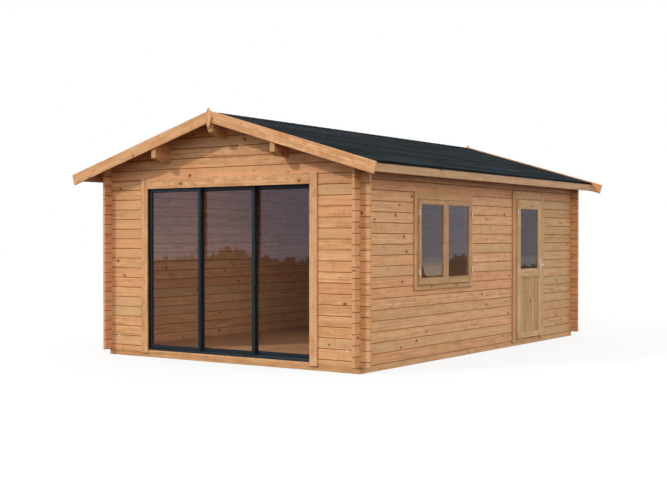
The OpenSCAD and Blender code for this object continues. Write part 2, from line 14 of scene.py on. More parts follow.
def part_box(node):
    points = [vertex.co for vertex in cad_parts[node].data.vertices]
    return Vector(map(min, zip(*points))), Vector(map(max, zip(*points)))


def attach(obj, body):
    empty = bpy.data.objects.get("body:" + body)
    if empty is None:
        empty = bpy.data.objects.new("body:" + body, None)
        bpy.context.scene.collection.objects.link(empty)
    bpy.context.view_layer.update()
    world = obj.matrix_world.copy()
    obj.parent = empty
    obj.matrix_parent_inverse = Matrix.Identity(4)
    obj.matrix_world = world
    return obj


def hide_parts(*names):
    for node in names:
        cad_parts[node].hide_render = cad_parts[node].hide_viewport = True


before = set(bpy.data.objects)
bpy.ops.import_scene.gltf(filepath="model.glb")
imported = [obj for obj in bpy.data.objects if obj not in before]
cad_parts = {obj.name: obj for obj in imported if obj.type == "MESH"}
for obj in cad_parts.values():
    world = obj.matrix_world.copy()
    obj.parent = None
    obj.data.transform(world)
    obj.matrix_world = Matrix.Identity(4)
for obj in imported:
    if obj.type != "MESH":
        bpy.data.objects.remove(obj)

LOG = logging.getLogger("garden_house")
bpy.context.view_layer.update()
MM = 0.001
WHITE = (1.0, 1.0, 1.0)
SEEN_RAYS = ("Is Camera Ray", "Is Glossy Ray", "Is Transmission Ray")

# Short names for types
Colour = tuple[float, float, float]
Place = tuple[float, float, float]
Span = tuple[float, float]
Mesh = bmesh.types.BMesh
Vert = bmesh.types.BMVert
Edge = bmesh.types.BMEdge
Material = bpy.types.Material
Thing = bpy.types.Object
Socket = bpy.types.NodeSocket


class Axis(Enum):
    """The way that the grain of a piece of timber runs."""

    X = Vector((1.0, 0.0, 0.0))
    Y = Vector((0.0, 1.0, 0.0))
    Z = Vector((0.0, 0.0, 1.0))


class Body(Enum):
    """What a piece moves with."""

    HOUSE = "house"
    LEFT_PANEL = "left_panel"
    MIDDLE_PANEL = "middle_panel"
    SIDE_DOOR = "side_door"


class Slot(Enum):
    """Names of the record's finishes, kept with each piece's stock."""

    BEARER = "bearer_timber"
    FLOOR = "floor_timber"
    ROOF = "roof_timber"
    ROOFING = "roofing"
    TRIM = "trim_timber"
    JOINERY = "joinery_timber"
    ALUMINIUM = "dark_aluminium"
    METAL = "ironmongery"


class Wire:
    """A value in a shader. Sums and products of wires add Math nodes."""

    def __init__(self, graph: "Graph", socket: Socket) -> None:
        """Keep the graph and the output socket that the value comes from."""
        self.graph = graph
        self.socket = socket

    def __add__(self, other: "Value") -> "Wire":
        """Sum of two values."""
        return self.graph.math("ADD", self, other)

    def __radd__(self, other: float) -> "Wire":
        """Sum of a number and a value."""
        return self.graph.math("ADD", other, self)

    def __sub__(self, other: "Value") -> "Wire":
        """Difference of two values."""
        return self.graph.math("SUBTRACT", self, other)

    def __mul__(self, other: "Value") -> "Wire":
        """Product of two values."""
        return self.graph.math("MULTIPLY", self, other)

    def __truediv__(self, other: "Value") -> "Wire":
        """Quotient of two values."""
        return self.graph.math("DIVIDE", self, other)

    def __pow__(self, other: "Value") -> "Wire":
        """Power of a value."""
        return self.graph.math("POWER", self, other)


Value = Union[float, Wire]


class Graph:
    """The node tree of one material, or of the world."""

    def __init__(self, owner: Union[Material, bpy.types.World]) -> None:
        """Start from an empty tree.

        Args:
            owner: The material or world that the tree belongs to.
        """
        owner.use_nodes = True
        self.owner = owner
        self.tree = owner.node_tree
        self.tree.nodes.clear()

    @staticmethod
    def _find(sockets: Iterable[Socket], key: Union[int, str]) -> Socket:
        """Find a socket by its place, identifier or name.

        Args:
            sockets: The sockets of a node.
            key: Place, identifier or name.

        Returns:
            The socket.
        """
        listed = list(sockets)
        if isinstance(key, int):
            return listed[key]
        named = [s for s in listed if s.identifier == key] or [s for s in listed if s.name == key]
        return named[0]

    def node(self, kind: str, output: Union[int, str], settings: dict[str, Any],
             sockets: dict[Union[int, str], Any]) -> Wire:
        """Add one node.

        Args:
            kind: The node's type.
            output: The output that is used.
            settings: Properties, set before the sockets.
            sockets: Values or wires for the inputs.

        Returns:
            The wire from that output.
        """
        made = self.tree.nodes.new(kind)
        for name, value in settings.items():
            setattr(made, name, value)
        for key, value in sockets.items():
            socket = self._find(made.inputs, key)
            if isinstance(value, Wire):
                self.tree.links.new(value.socket, socket)
            elif isinstance(value, tuple) and len(value) == 3 and socket.type == "RGBA":
                socket.default_value = (*value, 1.0)
            else:
                socket.default_value = value
        return Wire(self, self._find(made.outputs, output))

    def math(self, operation: str, *values: Value) -> Wire:
        """One Math node on the given values."""
        return self.node("ShaderNodeMath", 0, {"operation": operation}, dict(enumerate(values)))

    def mix(self, factor: Value, first: Any, second: Any) -> Wire:
        """Blend two colours.

        Args:
            factor: Share of the second colour.
            first: Colour or wire.
            second: Colour or wire.

        Returns:
            The blended colour.
        """
        return self.node("ShaderNodeMix", "Result_Color", {"data_type": "RGBA", "clamp_factor": True},
                         {"Factor_Float": factor, "A_Color": first, "B_Color": second})

    def ramp(self, value: Value, low: float, high: float, to_low: float = 0.0, to_high: float = 1.0) -> Wire:
        """Ease a value from one range to another.

        Args:
            value: The value.
            low: Where the ramp starts.
            high: Where it ends.
            to_low: Result at its start.
            to_high: Result at its end.

        Returns:
            The eased value, held at both ends.
        """
        sockets = {"Value": value, "From Min": low, "From Max": high, "To Min": to_low, "To Max": to_high}
        return self.node("ShaderNodeMapRange", "Result", {"interpolation_type": "SMOOTHSTEP"}, sockets)

    def vector(self, x: Value, y: Value, z: Value) -> Wire:
        """Join three values to a vector."""
        return self.node("ShaderNodeCombineXYZ", 0, {}, {0: x, 1: y, 2: z})

    def split(self, vector: Wire) -> tuple[Wire, Wire, Wire]:
        """Part a vector into its three values."""
        parted = self.node("ShaderNodeSeparateXYZ", 0, {}, {0: vector})
        return tuple(Wire(self, output) for output in parted.socket.node.outputs)

    def noise(self, vector: Wire, scale: float, detail: float = 2.0, roughness: float = 0.5) -> Wire:
        """Smooth noise between 0 and 1."""
        return self.node("ShaderNodeTexNoise", 0, {"noise_dimensions": "3D"},
                         {"Vector": vector, "Scale": scale, "Detail": detail, "Roughness": roughness})

    def stretched(self, scales: Place, detail: float) -> Wire:
        """Smooth noise with a scale of its own along each axis of the piece."""
        x, y, z = self.split(self.place())
        return self.noise(self.vector(x * scales[0], y * scales[1], z * scales[2]), 1.0, detail)

    def dice(self, vector: Wire) -> tuple[Wire, Wire, Wire]:
        """Three random values that stay the same for one vector."""
        return self.split(self.node("ShaderNodeTexWhiteNoise", "Color", {"noise_dimensions": "3D"},
                                    {"Vector": vector}))

    def place(self, output: str = "Object") -> Wire:
        """Place on the piece, in metres, or its normal."""
        return self.node("ShaderNodeTexCoord", output, {}, {})

    def attribute(self, name: str, output: str) -> Wire:
        """Read an attribute of the mesh."""
        return self.node("ShaderNodeAttribute", output, {"attribute_name": name}, {})

    def bump(self, height: Wire, strength: float, distance: float) -> Wire:
        """Turn a height into a normal."""
        sockets = {"Height": height, "Strength": strength, "Distance": distance}
        return self.node("ShaderNodeBump", 0, {}, sockets)

    def surface(self, shader: Wire) -> None:
        """Show a shader as the surface."""
        kind = "World" if isinstance(self.owner, bpy.types.World) else "Material"
        self.tree.links.new(shader.socket, self.tree.nodes.new(f"ShaderNodeOutput{kind}").inputs["Surface"])

    def principled(self, sockets: dict[str, Any]) -> Material:
        """Show one Principled shader.

        Args:
            sockets: Values or wires for its inputs.

        Returns:
            The finished material.
        """
        self.surface(self.node("ShaderNodeBsdfPrincipled", 0, {}, sockets))
        return self.owner

    def ray(self, *kinds: str) -> Wire:
        """1 for rays of these kinds, by their names in Light Path, and otherwise 0.

        Args:
            kinds: Outputs of Light Path.

        Returns:
            The value.
        """
        total = self.node("ShaderNodeLightPath", kinds[0], {}, {})
        outputs = total.socket.node.outputs
        for kind in kinds[1:]:
            total = self.math("MAXIMUM", total, Wire(self, outputs[kind]))
        return total


def new_graph(name: str) -> Graph:
    """Start a material of that name."""
    return Graph(bpy.data.materials.new(name))


@dataclass(frozen=True)
class Grain:
    """Where a point lies in a piece of timber, as wires in metres."""

    END_FACING = (0.6, 0.9)

    along: Wire
    across: Wire
    depth: Wire
    row: Wire
    in_row: Wire
    row_height: float
    tone: Wire
    end: Wire
    joint: Optional[Wire]


@dataclass(frozen=True)
class Courses:
    """Grain of log courses or boards side by side, read from the place in the wall.

    Attributes:
        axis: The way that the grain runs.
        height: Height of a course, or width of a board.
        base: Place of a joint between two of them.
        seed: Tells one wall from the next.
        joint: Width of the dark line over a joint, laid on one side of it only as painted shade, where the
            joint's flank faces down on the logs.
    """

    JOINT_SHADE_CORE = 0.45
    ROW_SHIFT = 3.7
    WALL_SHIFT = 11.3
    WALL_ROWS = 41.0
    TONE_LAYER = 3.0

    axis: Axis
    height: float
    base: float
    seed: int
    joint: float = 12 * MM

    def grain(self, graph: Graph) -> Grain:
        """Wire up the place in the logs.

        Args:
            graph: The material's graph.

        Returns:
            Place in the timber.
        """
        x, y, z = graph.split(graph.place())
        along, across, depth = {Axis.X: (x, z, y), Axis.Y: (y, z, x), Axis.Z: (z, y, x)}[self.axis]
        rows = (across - self.base) / self.height
        row = graph.math("FLOOR", rows)
        in_row = (rows - row) * self.height
        tone = graph.dice(graph.vector(row, float(self.seed), self.TONE_LAYER))[0]
        normal = dict(zip(Axis, graph.split(graph.place("Normal"))))
        facing = graph.math("ABSOLUTE", normal[self.axis])
        # Painted shade: a dark line on the lower edge of each course only, the joint's flank that faces down
        joint = graph.ramp(in_row, self.joint * self.JOINT_SHADE_CORE, self.joint, 1.0, 0.0)
        return Grain(along + row * self.ROW_SHIFT + self.seed * self.WALL_SHIFT, across, depth,
                     row + self.seed * self.WALL_ROWS, in_row, self.height, tone,
                     graph.ramp(facing, *Grain.END_FACING), joint)


@dataclass(frozen=True)
class Bars:
    """Grain of separate bars and boards, read from the attributes that Carpenter.stamp writes."""

    TONE_ROWS = 97.0

    row_height: float = 0.1

    def grain(self, graph: Graph) -> Grain:
        """Wire up the place in the bars.

        Args:
            graph: The material's graph.

        Returns:
            Place in the timber.
        """
        along, across, depth = graph.split(graph.attribute("grain", "Vector"))
        rows = across / self.row_height
        row = graph.math("FLOOR", rows)
        tone = graph.attribute("tone", "Fac")
        facing = graph.math("ABSOLUTE", graph.attribute("ends", "Fac"))
        return Grain(along, across, depth, row + tone * self.TONE_ROWS, (rows - row) * self.row_height,
                     self.row_height, tone, graph.ramp(facing, *Grain.END_FACING), None)


@dataclass(frozen=True)
class Weave:
    """A noise that is stretched along the grain.

    Attributes:
        along: Scale along the grain, in waves per metre.
        across: Scale across it.
        depth: Scale into the timber.
        row: Shift from one row to the next.
        start: Shift of the whole noise.
        detail: Octaves of finer noise.
        roughness: Strength of the finer noise.
    """

    along: float
    across: float
    depth: float = 0.0
    row: float = 0.0
    start: float = 0.0
    detail: float = 2.0
    roughness: float = 0.5

    def wire(self, graph: Graph, grain: Grain) -> Wire:
        """Lay the noise in the timber.

        Args:
            graph: The material's graph.
            grain: Place in the timber.

        Returns:
            The noise, between 0 and 1.
        """
        third = grain.depth * self.depth + grain.row * self.row + self.start
        place = graph.vector(grain.along * self.along, grain.across * self.across, third)
        return graph.noise(place, 1.0, self.detail, self.roughness)


@dataclass(frozen=True)
class Stain:
    """A colour that comes in, up to a strength, as a value climbs from low to high."""

    low: float
    high: float
    strength: float

    def lay(self, graph: Graph, value: Wire, wood: Wire, colour: Colour) -> Wire:
        """Lay the colour over the wood."""
        return graph.mix(graph.ramp(value, self.low, self.high) * self.strength, wood, colour)


@dataclass(frozen=True)
class KnotLayer:
    """One layer of knots, with its share of the timber's knot pitch and its ramp for the dark heart."""

    pitch: float
    largest: float
    number: float
    heart: tuple[float, float, float, float]


@dataclass(frozen=True)
class Timber:
    """Planed softwood with growth rings, fibre, knots and a tone of its own on each piece.

    Attributes:
        name: Name of the finish.
        pale: Colour of the early wood.
        deep: Colour of the late wood.
        flush: Colour of the redder patches.
        knot: Colour of a knot.
        dull: Colour of the logs that have gone greyer.
        joint: Colour of the dark V joint between two logs, laid as painted shade on its flank that faces
            down.
        knot_pitch: Length of timber that holds one large knot at most.
        knot_share: Share of those lengths that hold none.
        spread: How far the tones of two pieces differ.
        blotch: Strength of the small red blotches.
        ring_pitch: Distance between two growth rings.
        gloss: Roughness of the smoothest fibre.
    """

    # Noises that make the figure
    WANDER = Weave(0.8, 6.0, depth=6.0, row=1.0)
    FIBRE = Weave(4.0, 240.0, depth=240.0, detail=3.0)
    STREAK = Weave(1.3, 52.0, depth=52.0)
    PATCH = Weave(1.9, 9.0, row=2.3, detail=3.0)
    CLOUD = Weave(5.2, 15.0, row=5.1, start=7.0, detail=4.0)
    RIPPLE = Weave(34.0, 5.0, row=3.1)
    BLOTS = Weave(10.0, 13.0, row=1.7, detail=3.0, roughness=0.6)

    # Shares of the late wood that rings, fibre, streaks and clouds make, and its share without them
    RING_LATE = 0.24
    FIBRE_LATE = 0.34
    STREAK_LATE = 2.0
    CLOUD_LATE = 1.2
    LEAST_LATE = 0.07

    # Colours over the early and late wood
    PATCHES = Stain(0.48, 0.70, 0.55)
    DULL_LOGS = Stain(0.5, 1.0, 0.62)
    DULL_CYCLE = 5.7
    RED_LOGS = Stain(0.5, 1.0, 0.42)
    RED_CYCLE = 9.1
    BLOT_SPAN = (0.46, 0.66)
    RIPPLE_SPAN = (0.45, 0.75)
    CLOUD_SPAN = (0.42, 0.7)
    RIPPLE_SHARE = 0.5
    # Strength of the painted shade in the V joints
    JOINT_SHADE_SHARE = 0.9

    # Growth rings along the timber and on its ends
    RING_SLANT = 0.6
    RING_BEND = 0.75
    RING_WANDER = 2.6
    END_HEART = 20 * MM
    END_SQUASH = 1.4
    END_PITCH = 5 * MM
    END_FIBRE = 0.3
    END_SHARE = 0.8

    # Knots: their place in their length and row of timber, their form and their colour
    LARGE_KNOTS = KnotLayer(1.0, 19 * MM, 1.0, (0.65, 1.1, 1.0, 0.0))
    SMALL_KNOTS = KnotLayer(0.41, 6.5 * MM, 2.0, (0.6, 1.1, 0.8, 0.0))
    KNOT_STAGGER = 0.37
    KNOT_ALONG = (0.2, 0.6)
    KNOT_ACROSS = (0.16, 0.68)
    KNOT_SQUASH = 0.55
    KNOT_SMALLEST = 0.02
    KNOT_LEAST = 0.2 * MM
    KNOT_SHADE = 0.82
    HALO = (0.7, 3.4, 1.0, 0.0)
    HALO_SHARE = 0.5

    # Surface
    FIBRE_ROUGH = 0.16
    KNOT_SMOOTH = 0.1
    FIBRE_RISE = 0.6
    RING_RISE = 0.4
    KNOT_DROP = 0.3
    RELIEF = (0.3, 0.6 * MM)
    SHEEN = 0.22

    name: str
    pale: Colour
    deep: Colour
    flush: Colour
    knot: Colour = (0.120, 0.036, 0.010)
    dull: Colour = (0.700, 0.440, 0.225)
    joint: Colour = (0.310, 0.078, 0.006)
    knot_pitch: float = 0.66
    knot_share: float = 0.50
    spread: float = 0.42
    blotch: float = 0.25
    ring_pitch: float = 14 * MM
    gloss: float = 0.60

    def material(self, layout: Union[Courses, Bars], tag: str) -> Material:
        """Make the material.

        Args:
            layout: How the grain lies.
            tag: Ending of the material's name.

        Returns:
            The material.
        """
        graph = new_graph(f"{self.name}_{tag}")
        grain = layout.grain(graph)
        reach, side = self._knots(graph, grain, self.LARGE_KNOTS)
        small_reach, _ = self._knots(graph, grain, self.SMALL_KNOTS)
        heart = graph.math("MAXIMUM", graph.ramp(reach, *self.LARGE_KNOTS.heart),
                           graph.ramp(small_reach, *self.SMALL_KNOTS.heart))
        halo = graph.ramp(reach, *self.HALO)
        band = self._rings(graph, grain, side * halo)
        fibre = self.FIBRE.wire(graph, grain)
        wood = self._clear_wood(graph, grain, band, fibre, halo)
        wood = graph.mix(grain.end * self.END_SHARE, wood, self._end_grain(graph, grain, fibre))
        wood = graph.mix(heart * self.KNOT_SHADE, wood, self.knot)
        # Painted shade in the V joints, on the lower edge of each course
        if grain.joint is not None:
            wood = graph.mix(grain.joint * self.JOINT_SHADE_SHARE, wood, self.joint)
        relief = fibre * self.FIBRE_RISE + band * self.RING_RISE - heart * self.KNOT_DROP
        return graph.principled({
            "Base Color": wood, "Roughness": self.gloss + fibre * self.FIBRE_ROUGH - heart * self.KNOT_SMOOTH,
            "Normal": graph.bump(relief, *self.RELIEF), "Specular IOR Level": self.SHEEN})

    def _knots(self, graph: Graph, grain: Grain, layer: KnotLayer) -> tuple[Wire, Wire]:
        """Scatter one layer of knots.

        Args:
            graph: The material's graph.
            grain: Place in the timber.
            layer: The layer.

        Returns:
            Distance from the knot in knot radii, and the offset across the grain in metres.
        """
        pitch = self.knot_pitch * layer.pitch
        cells = grain.along / pitch + grain.row * self.KNOT_STAGGER + layer.number
        cell = graph.math("FLOOR", cells)
        first, second, third = graph.dice(graph.vector(cell, grain.row, layer.number))
        run = (cells - cell - self.KNOT_ALONG[0] - first * self.KNOT_ALONG[1]) * pitch
        side = grain.in_row - (self.KNOT_ACROSS[0] + second * self.KNOT_ACROSS[1]) * grain.row_height
        share = graph.ramp(third, self.knot_share, 1.0, self.KNOT_SMALLEST, 1.0)
        reach = graph.math("SQRT", run * run * self.KNOT_SQUASH + side * side)
        return reach / (share * layer.largest + self.KNOT_LEAST), side

    def _rings(self, graph: Graph, grain: Grain, bend: Wire) -> Wire:
        """Growth rings as bands from 0 to 1, which bend round the knots.

        Args:
            graph: The material's graph.
            grain: Place in the timber.
            bend: How far a knot pushes the rings aside.

        Returns:
            The bands.
        """
        place = grain.across + grain.depth * self.RING_SLANT - bend * self.RING_BEND
        turns = place / self.ring_pitch + self.WANDER.wire(graph, grain) * self.RING_WANDER
        return (graph.math("SINE", turns * (2 * math.pi)) * 0.5 + 0.5) ** 2.0

    def _clear_wood(self, graph: Graph, grain: Grain, band: Wire, fibre: Wire, halo: Wire) -> Wire:
        """Colour of the wood between its knots.

        Args:
            graph: The material's graph.
            grain: Place in the timber.
            band: The growth rings.
            fibre: The fibre.
            halo: 1 near a knot, otherwise 0.

        Returns:
            The colour.
        """
        cloud = self.CLOUD.wire(graph, grain)
        late = (band * self.RING_LATE + fibre * self.FIBRE_LATE
                + (self.STREAK.wire(graph, grain) - 0.5) * self.STREAK_LATE + (cloud - 0.5) * self.CLOUD_LATE)
        wood = graph.mix(late + (grain.tone - 0.5) * self.spread + self.LEAST_LATE, self.pale, self.deep)
        wood = self.PATCHES.lay(graph, self.PATCH.wire(graph, grain), wood, self.flush)
        wood = self.DULL_LOGS.lay(graph, graph.math("FRACT", grain.tone * self.DULL_CYCLE), wood, self.dull)
        wood = self.RED_LOGS.lay(graph, graph.math("FRACT", grain.tone * self.RED_CYCLE), wood, self.flush)
        blots = Stain(*self.BLOT_SPAN, self.blotch)
        wood = blots.lay(graph, self.BLOTS.wire(graph, grain), wood, self.flush)
        wood = graph.mix(halo * self.HALO_SHARE, wood, self.flush)
        ripple = graph.ramp(self.RIPPLE.wire(graph, grain), *self.RIPPLE_SPAN)
        return graph.mix(ripple * graph.ramp(cloud, *self.CLOUD_SPAN) * self.RIPPLE_SHARE, wood, self.deep)

    def _end_grain(self, graph: Graph, grain: Grain, fibre: Wire) -> Wire:
        """Colour of a sawn end, with its rings.

        Args:
            graph: The material's graph.
            grain: Place in the timber.
            fibre: The fibre.

        Returns:
            The colour.
        """
        squashed = (grain.depth * self.END_SQUASH) ** 2.0
        radius = graph.math("SQRT", (grain.in_row - self.END_HEART) ** 2.0 + squashed)
        circles = graph.math("SINE", radius * (2 * math.pi / self.END_PITCH)) * 0.5 + 0.5
        return graph.mix(circles * 0.5 + fibre * self.END_FIBRE, self.pale, self.deep)


@dataclass(frozen=True)
class Felt:
    """Black mineral felt with a slate grain."""

    name: str = "slate_felt"
    dark: Colour = (0.0040, 0.0078, 0.0102)
    pale: Colour = (0.0185, 0.0270, 0.0320)
    grit: float = 420.0
    streaks: Place = (7.0, 0.55, 7.0)
    streak_span: Span = (0.40, 0.66)
    weights: tuple[float, float, float] = (0.14, 0.75, 0.8)
    rough: Span = (0.84, 0.12)
    relief: Span = (0.5, 1.2 * MM)
    sheen: float = 0.04

    def material(self) -> Material:
        """Make the material, with a tone for each tab where the mesh has one.

        Returns:
            The material.
        """
        graph = new_graph(self.name)
        of_tone, of_streak, of_grit = self.weights
        grit = graph.noise(graph.place(), self.grit, roughness=0.7)
        streak = graph.ramp(graph.stretched(self.streaks, detail=4.0), *self.streak_span)
        share = graph.attribute("tone", "Fac") * of_tone + streak * of_streak + (grit - 0.5) * of_grit
        return graph.principled({
            "Base Color": graph.mix(share, self.dark, self.pale),
            "Roughness": self.rough[0] + grit * self.rough[1],
            "Normal": graph.bump(grit, *self.relief), "Specular IOR Level": self.sheen})


@dataclass(frozen=True)
class Coating:
    """Powder coat, rubber or paint: one colour with a fine orange-peel texture."""

    name: str
    colour: Colour
    rough: float
    peel: float = 900.0
    peel_rough: float = 0.14
    relief: Span = (0.12, 0.2 * MM)
    fade: float = 0.82
    fade_scale: float = 3.0
    fade_span: Span = (0.3, 0.75)
    sheen: float = 0.3

    def material(self) -> Material:
        """Make the material.

        Returns:
            The material.
        """
        graph = new_graph(self.name)
        peel = graph.noise(graph.place(), self.peel)
        cloud = graph.ramp(graph.noise(graph.place(), self.fade_scale, detail=3.0), *self.fade_span)
        faded = tuple(self.fade * part for part in self.colour)
        return graph.principled({
            "Base Color": graph.mix(cloud * 0.5, self.colour, faded),
            "Roughness": self.rough + (peel - 0.5) * self.peel_rough,
            "Specular IOR Level": self.sheen, "Normal": graph.bump(peel, *self.relief)})


@dataclass(frozen=True)
class SatinMetal:
    """Brushed or plated steel."""

    name: str
    colour: Colour
    rough: float
    brush: Place = (900.0, 900.0, 30.0)
    line_shade: float = 0.8
    line_share: float = 0.6
    line_rough: float = 0.16
    relief: Span = (0.08, 0.1 * MM)

    def material(self) -> Material:
        """Make the material.

        Returns:
            The material.
        """
        graph = new_graph(self.name)
        lines = graph.stretched(self.brush, detail=3.0)
        shaded = tuple(self.line_shade * part for part in self.colour)
        return graph.principled({
            "Base Color": graph.mix(lines * self.line_share, self.colour, shaded), "Metallic": 1.0,
            "Roughness": self.rough + (lines - 0.5) * self.line_rough,
            "Normal": graph.bump(lines, *self.relief)})


@dataclass(frozen=True)
class ClearGlass:
    """Float glass with a faint body tint. Light for the room passes straight through it."""

    name: str
    tint: Colour
    index: float
    sheen: Colour = (0.74, 0.82, 1.0)

    def material(self) -> Material:
        """Make the material.

        Returns:
            The material.
        """
        graph = new_graph(self.name)
        pane = graph.node("ShaderNodeBsdfPrincipled", 0, {}, {
            "Base Color": self.tint, "Roughness": 0.0, "IOR": self.index, "Transmission Weight": 1.0,
            "Specular Tint": self.sheen})
        open_air = graph.node("ShaderNodeBsdfTransparent", 0, {}, {"Color": WHITE})
        lights_room = graph.ray("Is Shadow Ray", "Is Diffuse Ray")
        graph.surface(graph.node("ShaderNodeMixShader", 0, {}, {0: lights_room, 1: pane, 2: open_air}))
        return graph.owner


# Finishes
WALL_LOG = Timber("wall_log", (0.915, 0.512, 0.252), (0.515, 0.230, 0.080), (0.800, 0.372, 0.176))
# Darker, greyer copy of the wall logs: painted shade for the back part of the right wall
SHADED_LOG = Timber("shaded_log", (0.795, 0.482, 0.236), (0.447, 0.217, 0.075), (0.693, 0.350, 0.165),
                  dull=(0.610, 0.414, 0.211))
TRIM_BOARD = Timber("trim_board", (0.920, 0.525, 0.262), (0.530, 0.248, 0.088), (0.660, 0.270, 0.110),
                    dull=(0.760, 0.430, 0.215), knot_share=0.45, spread=0.26, blotch=0.62)
JOINERY = Timber("joinery", (0.690, 0.410, 0.208), (0.410, 0.204, 0.078), (0.560, 0.286, 0.130),
                 knot_share=0.80, spread=0.12)
DOOR_LEAF = Timber("door_leaf", (0.814, 0.517, 0.270), (0.484, 0.257, 0.101), (0.660, 0.360, 0.169),
                   dull=(0.800, 0.530, 0.280), knot_share=0.80, spread=0.12)
ROOF_TIMBER = Timber("roof_timber", (0.780, 0.425, 0.200), (0.450, 0.200, 0.068), (0.620, 0.275, 0.116))
# Darker copies of the trim board, as painted shade: for the fascias under the roof edge, and for the casings
# and linings on the side wall
SHADED_BOARD = Timber("shaded_board", (0.740, 0.462, 0.258), (0.420, 0.232, 0.106), (0.600, 0.325, 0.160),
                    dull=(0.660, 0.430, 0.245), knot_share=0.40)
SHADED_CASING = Timber("shaded_casing", (0.790, 0.462, 0.226), (0.460, 0.228, 0.090), (0.610, 0.290, 0.124),
                     dull=(0.690, 0.405, 0.200), knot_share=0.45, spread=0.26, blotch=0.45)
BEARER = Timber("bearer", (0.790, 0.435, 0.205), (0.460, 0.205, 0.070), (0.630, 0.290, 0.120), knot_pitch=0.9)
FLOORING = Timber("flooring", (0.800, 0.440, 0.224), (0.480, 0.220, 0.086), (0.660, 0.310, 0.142))
POWDER_COAT = Coating("anthracite_coat", (0.013, 0.023, 0.033), 0.46)
GASKET = Coating("black_rubber", (0.008, 0.009, 0.010), 0.72)
BOLT_CAP = Coating("pale_cap", (0.88, 0.84, 0.76), 0.36)
SATIN_STEEL = SatinMetal("satin_steel", (0.76, 0.74, 0.71), 0.30)
ZINC = SatinMetal("zinc_plate", (0.74, 0.60, 0.45), 0.48, (300.0, 300.0, 300.0))
DOOR_GLASS = ClearGlass("float_glass", (0.86, 0.88, 0.92), 1.47)
WINDOW_GLASS = ClearGlass("tinted_glass", (0.50, 0.52, 0.56), 1.45)

# Measures that several pieces share
WELD = 0.02 * MM
TOUCH = 0.001 * MM
BOARD_EASE = 2.5 * MM
LINING_EASE = 1.5 * MM
BEAD_WIDTH = 7 * MM


def to_thing(mesh: Mesh, name: str, material: Material) -> Thing:
    """Turn a mesh, which is freed, into an object of the scene.

    Args:
        mesh: The mesh.
        name: Name of the object.
        material: Its material.

    Returns:
        The object.
    """
    data = bpy.data.meshes.new(name)
    mesh.to_mesh(data)
    mesh.free()
    data.materials.append(material)
    made = bpy.data.objects.new(name, data)
    bpy.context.scene.collection.objects.link(made)
    return made


def dress(nodes: Iterable[str], material: Material) -> None:
    """Give CAD nodes a material.

    Args:
        nodes: Names of the nodes.
        material: The material.
    """
    for node in nodes:
        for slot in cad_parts[node].material_slots:
            slot.material = material
        LOG.info("%s: dressed with %s", node, material.name)


@dataclass(frozen=True)
class Stock:
    """What a piece is made of.

    Attributes:
        slot: The record's finish; not used.
        material: Its material.
        ease: Width that the edges of a copy are rounded by.
        body: What it moves with.
    """

    slot: Slot
    material: Material
    ease: float = 0.0
    body: Body = Body.HOUSE


